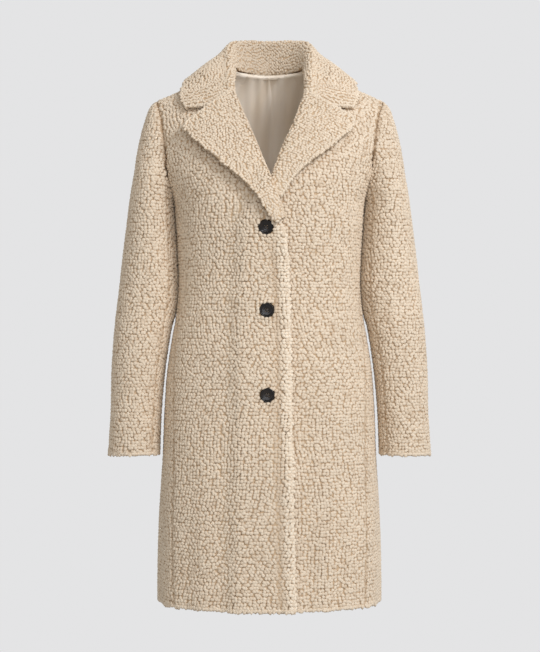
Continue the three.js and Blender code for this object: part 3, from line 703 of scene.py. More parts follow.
# %% [markdown]
# A coat's sleeve is cut in two: a wide upper part with the rounded head that is eased into the armhole,
# and a narrow under part beside the body. Seen in section it is an oval that moves forward a little
# towards the cuff. Above the underarm the oval is open where it meets the armhole.

# %% The sleeves
SLEEVE = {
    "z": [-44, -60, -119, -175, -217, -257, -313, -369, -411, -445, -516, -588, -660],
    "outer": [200.5, 212, 229, 238, 245, 250, 257, 263, 268, 271.5, 276, 277, 281.5],
    "inner": [166.6, 166.6, 166.6, 166.6, 166.8, 164, 160.5, 159, 163, 170.5, 181, 187, 189.5],
    "half_depth": [62, 62, 62, 63, 63, 61, 57, 54, 52, 51, 49, 48, 49],
    "shift": [0, 0, 0, 0, 0, 0, -1, -3, -5, -7, -11, -15, -18],
}
SLEEVE_SEAM = np.radians(138)
CAP_FULLNESS = 1.02
CAP_Z = -125.0
SLEEVE_TOP = SHOULDER_TIP_Z - 1.5

sleeve_outer = curve(SLEEVE, "outer")
sleeve_inner = curve(SLEEVE, "inner")
sleeve_depth = curve(SLEEVE, "half_depth")
sleeve_shift = curve(SLEEVE, "shift")


def armhole_depth(side, z):
    """How far the armhole's edge lies in front of (side -1) or behind (side 1) the side line."""
    x = armhole_x(z) - SEAM
    room = np.maximum(1 - (x / half_width(z)) ** SQUARENESS, 0) ** (1 / SQUARENESS)
    around = np.sqrt(np.maximum(1 - shoulder_rise(x, z) ** 2, 0))
    return body_depth(side, z) * room * around


def sleeve_half(side, z):
    """Centre, half width, depth and closing angle of one half of the sleeve's section."""
    outer = sleeve_outer(z)
    edge = armhole_depth(side, z) * CAP_FULLNESS
    full = ease(CAP_Z - z, 0, CAP_Z - UNDERARM_Z - 40)
    depth = np.maximum(mix(edge, sleeve_depth(z), full), edge)
    end = np.pi - np.arcsin(np.clip(edge / CAP_FULLNESS / np.maximum(depth, 1e-6), 0, 1))
    half = (outer - armhole_x(z) - SEAM) / (1 - np.cos(end))
    closed = z <= UNDERARM_Z
    half = np.where(closed, (outer - sleeve_inner(z)) / 2, half)
    depth = np.where(closed, sleeve_depth(z), depth)
    return outer - half, half, depth, np.where(closed, np.pi, end)


def sleeve(arm, turn, z):
    """A point of a sleeve: the oval's centre plus the cosine and sine of the turn times its half sizes."""
    centre, half, depth, _ = sleeve_half(np.where(turn < 0, -1, 1), z)
    y = sleeve_shift(z) + depth * np.sin(turn)
    return np.stack([arm * (centre + half * np.cos(turn)), y, z], -1)


def armhole_at(turn):
    """The height at which the armhole meets a turn of the section, by halving the range 40 times."""
    side = np.where(turn < 0, -1, 1)
    low = np.full(np.shape(turn), UNDERARM_Z)
    high = np.full(np.shape(turn), CAP_Z)
    for _ in range(40):
        middle = (low + high) / 2
        closed = sleeve_half(side, middle)[3] > np.abs(turn)
        low = np.where(closed, middle, low)
        high = np.where(closed, high, middle)
    return low


def sleeve_panel(name, grid, outward):
    return Panel(name, grid, outward, top="seam", bottom="free", first="seam", last="seam")


def upper_sleeve(side_name, arm):
    """The head's rows close in on the shoulder; the rows below run level from seam to seam."""
    t = np.linspace(0, 1, 64)[None]
    ends = armhole_at(np.array([-SLEEVE_SEAM, SLEEVE_SEAM])) - SEAM
    seam_top = mix(ends[0], ends[1], t)
    head = mix(SLEEVE_TOP, seam_top, np.linspace(0, 1, 34)[:-1, None] ** 1.35)
    arm_rows = mix(seam_top, CUFF_Z, np.linspace(0, 1, 110)[:, None])
    z = np.concatenate([head, arm_rows])
    reach = []
    for side, rows in ((-1, z[:, :1]), (1, z[:, -1:])):
        reach.append(np.minimum(sleeve_half(side, rows)[3], SLEEVE_SEAM) - SEAM / 2 / sleeve_depth(rows))
    turn = np.where(t < 0.5, -reach[0] * (1 - 2 * t), reach[1] * (2 * t - 1))
    grid = sleeve(arm, turn, z)
    ends = mix(grid[:, :1], grid[:, -1:], 0.5)
    middle = grid[:, grid.shape[1] // 2, None]
    return sleeve_panel(f"sleeve_upper_{side_name}", grid, grid - mix(ends, middle, 0.5))


def under_sleeve(side_name, arm):
    """The rest of the oval, its top edge following the armhole."""
    turn = mix(SLEEVE_SEAM, 2 * np.pi - SLEEVE_SEAM, np.linspace(0, 1, 22))
    turn = np.where(turn > np.pi, turn - 2 * np.pi, turn)
    top = armhole_at(turn) - SEAM
    z = mix(top[None], CUFF_Z, np.linspace(0, 1, 110)[:, None])
    grid = sleeve(arm, np.broadcast_to(turn, z.shape), z)
    middle = grid[:, grid.shape[1] // 2, None]
    return sleeve_panel(f"sleeve_under_{side_name}", grid, middle - grid.mean((0, 1)))


sleeves = []
for side_name, arm in (("right", -1), ("left", 1)):
    sleeves += [upper_sleeve(side_name, arm), under_sleeve(side_name, arm)]
print("the sleeves are", round(SHOULDER_TIP_Z - CUFF_Z), "mm long")

# %% [markdown]
# A lapel is the top of the front turned back on itself. Its leaf is two cloths thick: it rolls round
# the front's edge and lies on the chest, a little puffed in the middle, and its outer edge stands off by
# LAPEL_STAND, which casts the soft shadow beside it. Its outline is a roll line and
# an outer edge, each a smooth line through a few points, with straight lines between the two.

# %% The lapels
LEAF = 9.0
ROLL_RADIUS = 5.2
LAPEL_PUFF = 2.5
LAPEL_STAND = 9.0
LAPEL_TAPER = 0.35
LEAF_STEPS = (0.14, 0.32, 0.5, 0.68, 0.84, 0.94, 1.0)
LAPELS = {
    "right": {
        "roll": [(-67.5, -37), (-59.5, -57.5), (-44, -95), (-25, -141),
                 (-7.5, -185), (3.7, -213), (13.3, -238), (20.3, -258)],
        "edge": [(-134, -94), (-138.5, -106), (-112, -134), (-84, -160),
                 (-47, -191), (-18, -222), (-2, -249), (11, -264)],
        "bow": [1, 1, 0, 0, 0, 0, 0, 0],
    },
    "left": {
        "roll": [(67, -41), (60.3, -61), (48, -95), (26, -145), (9.5, -190), (0, -215)],
        "edge": [(134.5, -86), (140, -97), (108, -132), (70, -162), (40, -191), (21, -222)],
        "bow": [1, 1, 0, 0, 0, 0],
    },
}


def flat_line(points, samples):
    """A smooth line through points of the plane that faces the viewer, as x and z."""
    flat = [(x, z, 0) for x, z in points]
    return through(flat, samples)[:, :2].T


def lapel(side_name, side):
    """The middle of the leaf: three points round the roll edge, then points on the front's surface
    from the roll line to the outer edge, moved out by the roll's radius and the puff."""
    table = LAPELS[side_name]
    samples = np.linspace(0, 1, 70)
    roll_x, roll_z = flat_line(table["roll"], samples)
    edge_x, edge_z = flat_line(table["edge"], samples)
    bow = flat_line(list(enumerate(table["bow"])), samples)[1]

    def on(t, out):
        z = mix(roll_z, edge_z, t) + bow * 4 * t * (1 - t)
        return front_skin(side, mix(roll_x, edge_x, t), z, out)

    start = on(0.0, 0.0)
    normal = body_normal(start)
    along = unit(on(0.05, 0.0) - start)
    turned = [(-ROLL_RADIUS, 4 - FUR), (-ROLL_RADIUS, 0), (-0.7 * ROLL_RADIUS, 0.7 * ROLL_RADIUS)]
    path = [start + along * s + normal * n for s, n in turned]
    for t in LEAF_STEPS:
        stand = LAPEL_STAND * t**3 * (1 - 0.8 * ease(samples, 0.55, 1))
        path.append(on(t, ROLL_RADIUS + 0.4 + LAPEL_PUFF * np.sin(np.pi * t) + stand))
    grid = through(np.array(path), np.linspace(0, 1, 46)).transpose(1, 0, 2)
    outward = np.zeros_like(grid) + unit(body_normal(start).mean(0))
    panel = Panel(f"lapel_{side_name}", grid, outward, top="free", bottom="free", first="seam", last="free")
    panel.top = LEAF / 2
    panel.thick = (1 - LAPEL_TAPER * ease(samples, 0.6, 1))[:, None]
    if side > 0:
        panel.shown = lambda place: place[:, 0] > right_edge(place[:, 2]) + LEAF / 2
    return panel


lapels = [lapel("right", -1), lapel("left", 1)]
print("the lapels stand", ROLL_RADIUS + LAPEL_PUFF, "mm off the chest")

# %% [markdown]
# The collar is one leaf as well, sewn to the neck all the way round: up from the seam as the stand,
# over the fold, and down as the fall until it rests on the shoulders. The table gives half of it from
# the centre back to the notch; the other half is its mirror image.

# %% The collar
COLLAR_FOLD = 6.0
# How far the tone on the inside of the collar's stand is lowered, as painted shade.
STAND_SHADE = 3.6
COLLAR = {
    "neck": [(0, 61, 9.7), (32, 46.5, 10.9), (50, 29, 12.6), (59.5, 8, 14), (60, -22, 0), (62, -53, -27.4),
             (62, -64, -40)],
    "fold": [(0, 73, 69.5), (43, 65, 69.5), (68, 41, 62), (72, 9, 38), (71, -27, 10), (69, -61, -21),
             (66.5, -71.5, -36)],
    "fall": [(0, 88, 34), (51, 81, 34), (87, 52, 36), (104, 8, 24), (108, -28, 1), (106, -52, -33),
             (104, -79, -63)],
    "edge": [(0, 92, -8), (60, 84, -10), (117, 60, -8), (144, 12, -7), (151, -14, -19), (152, -38, -43),
             (144, -63, -65)],
}


def rest(points, clearance):
    """Pushes points out along the body's normal, at most 4 mm at a time, until they clear it."""
    for _ in range(12):
        normal = body_normal(points)
        here = body_form(points)
        slope = (body_form(points + 0.4 * normal) - here) / 0.4
        short = clearance - here / np.maximum(slope, 1e-4)
        points = points + normal * np.clip(short, 0, 4)[:, None]
    return points


def collar_line(key, samples):
    """The whole line: the mirrored half from the right notch, then the table's half."""
    half = np.array(COLLAR[key], float)
    return through(np.concatenate([(half * (-1, 1, 1))[:0:-1], half]), samples)


def collar():
    """Across each of the leaf's rows runs a smooth line: neck, stand, two points under the fold, the
    fold, the fall and the edge."""
    samples = np.linspace(0, 1, 130)
    neck, fold = (collar_line(key, samples) for key in ("neck", "fold"))
    fall, edge = (rest(collar_line(key, samples), LEAF / 2 + 1) for key in ("fall", "edge"))
    outward = unit((fall - fold) * (1, 1, 0))
    radius = np.minimum(COLLAR_FOLD, 0.5 * np.linalg.norm(neck - fold, axis=-1))[:, None]
    down = radius * (0, 0, -1)
    inside = fold - outward * radius + down
    outside = fold + outward * radius + 0.7 * down
    path = np.array([neck, mix(neck, inside, 0.55), inside, fold, outside, fall, edge])
    grid = through(path, np.linspace(0, 1, 44)).transpose(1, 0, 2)
    away = np.zeros_like(grid) + (0, 0, 1.0)
    panel = Panel("collar", grid, away, top="free", bottom="free", first="seam", last="free")
    panel.top = LEAF / 2
    across = np.arange(grid.shape[1]) / (grid.shape[1] - 1)
    # Painted shade: the inside of the stand at the back of the neck takes a tone below 0, which darkens its
    # pile where the collar shades it.
    facing = 1 - ease(-unit(fold)[:, 1], -0.75, -0.2)
    panel.painted_light_and_shade = -STAND_SHADE * (1 - ease(across, 0.34, 0.5)) * facing[:, None]
    return panel


collar_leaf = collar()
print("the collar has", collar_leaf.points.shape[:2], "points")

# %% [markdown]
# From here on pieces are made. A sheet of cloth is a closed shell: the panel's grid moved to two
# depths, with a rim round the four edges. A flat array of corner numbers gives all of its faces.

# %% Meshes from arrays


def to_mesh(name, points, faces, finishes, uv=None, face_finish=None, fields=()):
    """Puts whole arrays into a new object: points in millimetres, faces as rows of corner numbers."""
    mesh = bpy.data.meshes.new(name)
    size = faces.shape[1]
    mesh.vertices.add(len(points))
    mesh.vertices.foreach_set("co", (points * MM).astype(np.float32).ravel())
    mesh.loops.add(faces.size)
    mesh.loops.foreach_set("vertex_index", faces.astype(np.int32).ravel())
    mesh.polygons.add(len(faces))
    mesh.polygons.foreach_set("loop_start", np.arange(0, faces.size, size, dtype=np.int32))
    mesh.polygons.foreach_set("use_smooth", np.ones(len(faces), bool))
    for finish in finishes:
        mesh.materials.append(finish)
    if face_finish is not None:
        mesh.polygons.foreach_set("material_index", face_finish.astype(np.int32))
    if uv is not None:
        layer = mesh.uv_layers.new(name="cloth")
        layer.uv.foreach_set("vector", uv[faces.ravel()].astype(np.float32).ravel())
    for field, values in dict(fields).items():
        attribute = mesh.attributes.new(field, "FLOAT", "POINT")
        attribute.data.foreach_set("value", values.astype(np.float32).ravel())
    mesh.update(calc_edges=True)
    made = bpy.data.objects.new(name, mesh)
    bpy.context.scene.collection.objects.link(made)
    return made


def grid_faces(rows, columns, first=0):
    """Four corners for each cell of a grid, turning so that the face looks along down x across."""
    i, j = np.meshgrid(np.arange(rows - 1), np.arange(columns - 1), indexing="ij")
    corner = (first + i * columns + j).ravel()
    return np.stack([corner, corner + columns, corner + columns + 1, corner + 1], -1)


def rim(rows, columns):
    """The grid's border as one closed loop of corner numbers."""
    top = np.arange(columns)
    last = np.arange(1, rows) * columns + columns - 1
    bottom = (rows - 1) * columns + np.arange(columns - 2, -1, -1)
    first = np.arange(rows - 2, 0, -1) * columns
    return np.concatenate([top, last, bottom, first])


def shell(name, points, normals, outer, inner, finishes):
    """A closed sheet: one grid at outer, one at inner along the normals, and the rim between them.
    The inner face and the rim take the last finish. The UV map is in metres along the cloth."""
    rows, columns = points.shape[:2]
    count = rows * columns
    both = np.concatenate([(points + normals * depth).reshape(-1, 3) for depth in (outer, inner)])
    edge = rim(rows, columns)
    after = np.roll(edge, -1)
    walls = np.stack([edge, after, after + count, edge + count], -1)
    skin = grid_faces(rows, columns)
    faces = np.concatenate([skin, skin[:, ::-1] + count, walls])
    inside = np.arange(len(faces)) >= len(skin)
    down = np.linalg.norm(np.diff(points, axis=0, prepend=points[:1]), axis=-1).cumsum(0)
    along = np.linalg.norm(np.diff(points, axis=1, prepend=points[:, :1]), axis=-1).cumsum(1)
    uv = np.tile(np.stack([along, down], -1).reshape(-1, 2) * MM, (2, 1))
    return to_mesh(name, both, faces, finishes, uv, inside * (len(finishes) - 1))


print("a shell is two grids and a rim")

# %% [markdown]
# The backing and the dense roots of the pile are one sheet. Its face lies 3 mm below the tips, so from
# outside it shows only as a darker ground between curls. It stops a few millimetres short of a free
# edge, where the pile rolls round it.

# %% The backing cloth of each panel
CURL_HEIGHT = 2.7
CURL_ROOT = 0.9
CORE = 2.2
ROW_STEP = 3
SEAM_ALLOWANCE = 2.5


def thinned(size, step, skip_start, skip_end):
    """Numbers of the grid lines that a coarser sheet keeps, without those next to a free edge."""
    kept = np.linspace(skip_start, size - 1 - skip_end, (size - 1) // step + 1)
    return np.unique(kept.round().astype(int))


def with_allowance(panel, points):
    """Moves the outermost points beyond each sewn edge, so that the cloth reaches under its neighbour."""
    ends = {"top": np.s_[0, :], "bottom": np.s_[-1, :], "first": np.s_[:, 0], "last": np.s_[:, -1]}
    nexts = {"top": np.s_[1, :], "bottom": np.s_[-2, :], "first": np.s_[:, 1], "last": np.s_[:, -2]}
    points = points.copy()
    for edge, kind in panel.edges.items():
        if kind == "seam":
            points[ends[edge]] += unit(points[ends[edge]] - points[nexts[edge]]) * SEAM_ALLOWANCE
    return points


def backing_sheet(panel, outer, inner, skip=1, finishes=None):
    """The panel's grid, thinned to a third, as a closed sheet."""
    free = {edge: skip * (kind == "free") for edge, kind in panel.edges.items()}
    rows = thinned(panel.points.shape[0], ROW_STEP, free["top"], free["bottom"])
    columns = thinned(panel.points.shape[1], ROW_STEP, free["first"], free["last"])
    pick = np.ix_(rows, columns)
    points = panel.points[pick]
    if panel in body_panels:
        points = with_allowance(panel, points)
    finishes = finishes or [backing, satin]
    return shell(f"{panel.name}_cloth", points, panel.normals[pick], outer, inner, finishes)


body_panels = [front_right, front_left, back, *sleeves]
leaf_panels = [*lapels, collar_leaf]
sheets = {}
for panel in body_panels:
    sheets[panel.name] = backing_sheet(panel, -CURL_HEIGHT, -FUR)
for panel in leaf_panels:
    sheets[panel.name] = backing_sheet(panel, CORE, -CORE, 1, [backing])
for panel in body_panels + leaf_panels:
    half_surface = sum(face.area for face in sheets[panel.name].data.polygons) / 2
    widest = np.linalg.norm(np.diff(panel.points, axis=1), axis=-1).sum(1).max()
    longest = np.linalg.norm(np.diff(panel.points, axis=0), axis=-1).sum(0).max()
    print(panel.name, round(half_surface, 3), "square metres,", round(widest), "by", round(longest), "mm")
print(len(sheets), "sheets,", sum(len(s.data.polygons) for s in sheets.values()) * 2, "triangles")

# %% [markdown]
# The pile could be hair, but a strand system has no mesh of its own, and half a million strands would
# be far too heavy. A teddy cloth isn't seen as strands anyway: its fibres are set in little curls.
# So each curl is one closed drop of 11 points, bent over, wider one way than the other. They are
# spread evenly but not in rows, and they lean down the cloth, aside in slow swirls, and together into
# tufts, with creases between the tufts.

# %% One curl
RING_SIDES = 5
RINGS = {"height": (0.05, 0.72), "width": (1.0, 0.68)}


def curl_faces():
    """Faces of one curl: its flat foot, a band between two rings, and a fan at the tip."""
    k = np.arange(RING_SIDES)
    low_next = (k + 1) % RING_SIDES
    high = k + RING_SIDES
    high_next = low_next + RING_SIDES
    tip = np.full(RING_SIDES, 2 * RING_SIDES)
    fan = np.arange(1, RING_SIDES - 1)
    foot = (0 * fan, fan + 1, fan)
    parts = [foot, (k, low_next, high_next), (k, high_next, high), (high, high_next, tip)]
    return np.concatenate([np.stack(part, -1) for part in parts])


def curls(root, out, lean, width, stretch):
    """All curls at once. A curl's middle line is its root, plus its height along out, plus the square
    of that share along lean; each ring is an oval round it, longer along the lean."""
    along = unit(lean - out * (lean * out).sum(-1, keepdims=True) / (out * out).sum(-1, keepdims=True))
    across = np.cross(unit(out), along)
    angle = np.arange(RING_SIDES) * 2 * np.pi / RING_SIDES
    rings = []
    for height, share in zip(RINGS["height"], RINGS["width"]):
        centre = root + out * height + lean * height**2
        long = (width * share * np.sqrt(stretch))[:, None, None] * np.cos(angle)[None, :, None]
        short = (width * share / np.sqrt(stretch))[:, None, None] * np.sin(angle)[None, :, None]
        rings.append(centre[:, None] + along[:, None] * long + across[:, None] * short)
    rings.append((root + out + lean)[:, None])
    return np.concatenate(rings, 1)


CURL_FACES = curl_faces()
CURL_POINTS = 2 * RING_SIDES + 1
RISE = np.array([0.0] * RING_SIDES + [0.8] * RING_SIDES + [1.0])
print("a curl has", CURL_POINTS, "points and", len(CURL_FACES), "faces")

# %% [markdown]
# The slow swirls, the tufts and the creases come from fields of waves: many waves of one length in
# random directions, added up, make smooth hills of that size, and the lines where the sum is zero
# wander like the creases of a real teddy cloth.

# %% Swirls and creases
TUFT = 19.0
SWIRL = 55.0
WAVES = 20
STRIP = 0.93
LEAN = {"down": 0.1, "swirl": 0.2, "chance": 0.11, "gathered": 0.15}


def wave_field(points, length, seed):
    """The sum of waves of one length in random directions, and the slope of that sum."""
    random = np.random.default_rng(seed)
    direction = unit(random.normal(size=(WAVES, 3))) * 2 * np.pi / length
    phase = random.uniform(0, 2 * np.pi, WAVES)
    angle = points @ direction.T + phase
    scale = np.sqrt(2 / WAVES)
    return np.cos(angle).sum(-1) * scale, -np.sin(angle) @ direction * scale


def even_places(points, spacing, seed):
    """Places spread evenly over a surface: it is cut into strips as high as the spacing, the strips are
    laid end to end, and a place is set at every equal step of the running sum of their area."""
    random = np.random.default_rng(seed)
    down = np.diff(points, axis=0)[:, :-1]
    along = np.diff(points, axis=1)[:-1]
    area = np.linalg.norm(np.cross(down, along), axis=-1)
    height = np.concatenate([[0], np.linalg.norm(down, axis=-1).mean(1).cumsum()])
    strips = int(round(height[-1] / (STRIP * spacing)))
    cuts = np.interp(np.linspace(0, height[-1], strips + 1), height, np.arange(len(height)))
    middle, tall = (cuts[1:] + cuts[:-1]) / 2, np.diff(cuts)
    cells = area[np.minimum(middle.astype(int), len(area) - 1)] * tall[:, None]
    sums = np.concatenate([[0], cells.ravel().cumsum()])
    count = int(sums[-1] / spacing**2)
    target = (np.arange(count) + random.uniform(0.22, 0.78, count)) * spacing**2
    cell = np.searchsorted(sums, target, side="right") - 1
    strip, column = np.divmod(cell, area.shape[1])
    share = (target - sums[cell]) / (sums[cell + 1] - sums[cell])
    row = middle[strip] + tall[strip] * random.uniform(-0.24, 0.24, count)
    return np.clip(row, 0, len(area)), column + share


print("tufts are", TUFT / 2, "mm apart")

# %% [markdown]
# A seam pulls the pile in, a crease parts it, and it lies low in the groove beside the front's turned
# edge. Those three shorten a curl. Round a button it stands a little higher, and the rest is chance.

# %% Pile on a panel
BUTTONS = {
    "button_top": (-5.8, -271.0),
    "button_middle": (-4.2, -411.0),
    "button_bottom": (-3.3, -553.5),
}
BUTTON_RADIUS = 13.0
BUTTON_SUNK = 4.0
ARM_CONTACT = 2.6
FACING_WIDTH = 6.0
GROOVE_DEPTH = 1.5
SEAM_DEPTH = 1.6
BUTTON_NEST = 1.8
CURL_WIDTH = (0.74, 0.88)
CURL_STRETCH = (1.0, 1.5)


def from_buttons(points):
    """The distance to the nearest button, seen from the front."""
    centres = np.array(list(BUTTONS.values()))
    away = points[:, None, [0, 2]] - centres
    near = np.linalg.norm(away, axis=-1).min(1)
    return np.where(points[:, 1] < 0, near, 1e3)


def combed(place, normal, spacing, softness, random):
    """How a curl at each place leans, how deep in a crease it is, and its height's share."""
    hills, slope = wave_field(place, TUFT * softness, 11)
    _, swirl = wave_field(place, SWIRL, 12)
    crease = np.exp(-((hills / 0.3) ** 2))
    gathered = slope * np.sign(hills)[:, None] * (TUFT * softness / 2 / np.pi) * crease[:, None]
    chance = random.normal(size=place.shape)
    down = np.array([0, 0, -LEAN["down"]])
    lean = down + LEAN["swirl"] * unit(swirl) + LEAN["chance"] * chance + LEAN["gathered"] * gathered
    lean = lean - normal * (lean * normal).sum(-1, keepdims=True)
    height = random.uniform(0.95, 1.05, len(place)) * (1 - 0.1 * crease)
    return lean * spacing, crease, height


def beside_arm(place):
    """1 where the body and a sleeve face each other below the armhole, 0 away from there."""
    x, z = np.abs(place[:, 0]), place[:, 2]
    middle = (half_width(z) + sleeve_inner(z)) / 2
    return np.exp(-(((x - middle) / FACING_WIDTH) ** 2)) * ease(z, -440, -400) * ease(-z, 140, 175)


def laid(panel, field, row, column):
    """A panel's field at places; a field of one number counts for the whole panel."""
    return read(np.broadcast_to(field, panel.from_seam.shape), row, column)


def pile(panel, spacing, ground, softness, seed, rows=None):
    """The curls of a panel. Their roots are at ground, and their tips reach the panel's surface."""
    random = np.random.default_rng(seed)
    grid = panel.points if rows is None else panel.points[rows]
    row, column = even_places(grid, spacing, seed)
    if rows is not None:
        row = row + rows.start
    normal = unit(read(panel.normals, row, column))
    place = read(panel.points, row, column)
    thick = laid(panel, panel.thick, row, column)
    lean, crease, share = combed(place, normal, spacing, softness, random)
    seam = ease(read(panel.from_seam, row, column), 0, 5)
    facing = beside_arm(place)
    groove = laid(panel, panel.groove, row, column)
    painted_light_and_shade = laid(panel, panel.painted_light_and_shade, row, column)
    seam = np.maximum(seam, facing)
    height = panel.top - ground
    tall = (height * share - SEAM_DEPTH * (1 - seam) - GROOVE_DEPTH * groove) * thick
    tall = tall + ARM_CONTACT * facing
    tall = tall + BUTTON_NEST * np.exp(-(((from_buttons(place) - BUTTON_RADIUS - 2) / 2.5) ** 2))
    root = place + normal * (ground * thick)[:, None]
    width = spacing * random.uniform(*CURL_WIDTH, len(place))
    stretch = random.uniform(*CURL_STRETCH, len(place))
    points = curls(root, normal * tall[:, None], lean, width, stretch)
    # Each curl's random tone plus the panel's painted light and shade.
    tone_and_painted_light = random.uniform(0, 1, len(place)) + painted_light_and_shade
    # Painted shade in the creases, the seams and the groove beside the turned edge.
    painted_shade = np.maximum(np.maximum(0.5 * crease, 1 - seam), 0.9 * groove)
    keep = panel.shown(place) & (from_buttons(place) > BUTTON_RADIUS)
    return points[keep], tone_and_painted_light[keep], painted_shade[keep]


def curl_mesh(name, batches, finish):
    """Joins batches of curls in one mesh, with the three numbers that its finish reads."""
    points, tone_and_painted_light, painted_shade = (np.concatenate(part) for part in zip(*batches))
    count = len(points)
    faces = (CURL_FACES[None] + CURL_POINTS * np.arange(count)[:, None, None]).reshape(-1, 3)
    rise = np.tile(RISE, count)
    fields = {
        "rise": rise,
        "tone_and_painted_light": np.repeat(tone_and_painted_light, CURL_POINTS),
        "crease": np.repeat(painted_shade, CURL_POINTS),
    }
    uv = np.stack([fields["tone_and_painted_light"], rise], -1)
    return to_mesh(name, points.reshape(-1, 3), faces, [finish], uv, None, fields)


print("pile is made panel by panel")

# %% [markdown]
# At a free edge the cloth is turned under, so the pile points outwards all round the fold. Rows of
# curls fan out from a line just inside the edge, from the front face round to the inside.

# %% Pile round a free edge
EDGE_STRAY = 0.13
EDGE_HEIGHT = (0.92, 1.05)
EDGE_WIDTH = (0.68, 0.8)
EDGE_TONE = (0.9, 1.8)


def edge_line(panel, edge):
    """Points, normals and outward side directions along one edge of a panel."""
    take = {
        "top": (np.s_[0, :], np.s_[2, :]),
        "bottom": (np.s_[-1, :], np.s_[-3, :]),
        "first": (np.s_[:, 0], np.s_[:, 2]),
        "last": (np.s_[:, -1], np.s_[:, -3]),
    }
    here, inside = take[edge]
    points = panel.points[here]
    return points, panel.normals[here], unit(points - panel.points[inside])


def along_line(steps, values, at):
    """Rows of three numbers, read at distances along a line."""
    return np.stack([np.interp(at, steps, values[:, k]) for k in range(3)], -1)


def edge_pile(panel, edge, spacing, middle, radius, turns, seed):
    """Curls on a half circle round a free edge. Their roots lie on a line set in from the edge by the
    circle's radius at the depth middle, and each turn adds a row that points further round."""
    random = np.random.default_rng(seed)
    points, normals, sides = edge_line(panel, edge)
    steps = np.concatenate([[0], np.linalg.norm(np.diff(points, axis=0), axis=-1).cumsum()])
    batches = []
    for number, turn in enumerate(turns):
        count = int(steps[-1] / spacing)
        at = (np.arange(count) + 0.5 * (number % 2) + random.uniform(0.15, 0.6, count)) * spacing
        place = along_line(steps, points, at)
        normal = unit(along_line(steps, normals, at))
        side = unit(along_line(steps, sides, at))
        angle = turn + random.normal(0, EDGE_STRAY, count)[:, None]
        out = normal * np.cos(angle) + side * np.sin(angle)
        root = place + normal * middle - side * radius
        tall = (radius * random.uniform(*EDGE_HEIGHT, count))[:, None]
        lean = random.normal(size=(count, 3)) * spacing * 0.12 + (0, 0, -0.1 * spacing)
        lean = lean - out * (lean * out).sum(-1, keepdims=True)
        width = spacing * random.uniform(*EDGE_WIDTH, count)
        keep = (from_buttons(place) > BUTTON_RADIUS) & panel.shown(place)
        curl = curls(root, out * tall, lean, width, random.uniform(1.0, 1.4, count))
        batches.append((curl[keep], random.uniform(*EDGE_TONE, count)[keep], np.zeros(count)[keep]))
    return batches


CLOTH_TURNS = np.radians([20, 55, 90, 125, 160])
LEAF_TURNS = np.radians([30, 62, 90, 118, 150])
print("an edge has", len(CLOTH_TURNS), "rows of curls")

# %% [markdown]
# The body and sleeves have curls 5 to 7 mm across. The collar and lapels are brushed finer and softer.

# %% The pile of the whole coat
BODY_SPACING = 5.8
LEAF_SPACING = 4.6
EDGE_RADIUS = 4.2

piles = {}


def add_pile(name, panel, finish, batches):
    made = curl_mesh(name, batches, finish)
    piles.setdefault(panel.name, []).append(made)


for number, panel in enumerate(body_panels):
    edges = []
    for edge, kind in panel.edges.items():
        if kind == "free":
            spacing = BODY_SPACING * 0.95
            edges += edge_pile(panel, edge, spacing, -EDGE_RADIUS, EDGE_RADIUS, CLOTH_TURNS, 40 + number)
    if panel is back:
        half = len(panel.points) // 2 - 6
        parts = {"back_upper": slice(0, half + 1), "back_lower": slice(half, len(panel.points))}
    else:
        parts = {panel.name: None}
    for part, rows in parts.items():
        batch = pile(panel, BODY_SPACING, -CURL_HEIGHT - CURL_ROOT, 1.0, 20 + number, rows)
        add_pile(f"pile_{part}", panel, teddy, [batch] + (edges if part != "back_upper" else []))

for number, panel in enumerate(leaf_panels):
    batch = pile(panel, LEAF_SPACING, CORE - CURL_ROOT, 0.75, 60 + number)
    edges = []
    for edge in ("last", "top") if panel is not collar_leaf else ("last", "top", "bottom"):
        edges += edge_pile(panel, edge, LEAF_SPACING * 0.95, 0.0, LEAF / 2, LEAF_TURNS, 80 + number)
    add_pile(f"pile_{panel.name}", panel, fine_teddy, [batch] + edges)

triangles = {made.name: len(made.data.polygons) for group in piles.values() for made in group}
print(triangles)
print(sum(triangles.values()), "triangles of pile")

# %% [markdown]
# The back is lined with satin, cut a little wider than the coat and laid in a pleat down the centre
# back, so that it can give when the wearer moves. It hangs in soft upright folds.

# %% The lining and the hanger loop
LINING_OUT = -(FUR + 3.5)
SATIN_THICK = 1.0
LINING_RAISED = 7.0
LINING_TOP_Z = 8.5
LINING_FOLDS = {
    "x": [-1.5, 3, -17, 20, -36, 38, -70, 75, -110, 112],
    "width": [2.2, 2.2, 6, 6, 8, 9, 14, 13, 16, 16],
    "depth": [2.6, -2.2, 2.4, 2.0, 2.4, 2.2, 2.6, 2.6, 2.4, 2.4],
}


def lining_panel():
    """The back's grid set inwards, pushed further in by a bell for each upright fold."""
    grid = back_grid(150, LINING_OUT, 3.0, LINING_HEM_Z, 1.0)
    normal = body_normal(grid)
    x, width, depth = (np.array(LINING_FOLDS[key], float) for key in LINING_FOLDS)
    spread = 1 + 0.9 * ease(-grid[..., 2, None], 0, 600)
    ridge = depth * np.exp(-(((grid[..., 0, None] / spread - x) / width) ** 2))
    grid = grid - normal * ridge.sum(-1)[..., None]
    grid[..., 2] += LINING_RAISED * ease(grid[..., 2], -50, -5)
    half_neck = np.array(COLLAR["neck"][:4], float)
    x = grid[0, :, 0]
    behind = np.interp(np.abs(x), half_neck[:, 0], half_neck[:, 1]) - LEAF / 2
    seam = np.stack([x, behind, 0 * x + LINING_TOP_Z], -1)
    reach = ease(-np.abs(x), -NECK_SIDE_X - 4, 4 - NECK_SIDE_X)[:, None]
    over = [mix(grid[0], seam, share * np.maximum(reach, 0.02)) for share in (1.0, 0.66, 0.33)]
    grid = np.concatenate([np.array(over), grid])
    return torso_panel("lining_back", grid, top="seam", bottom="free", first="seam", last="seam")


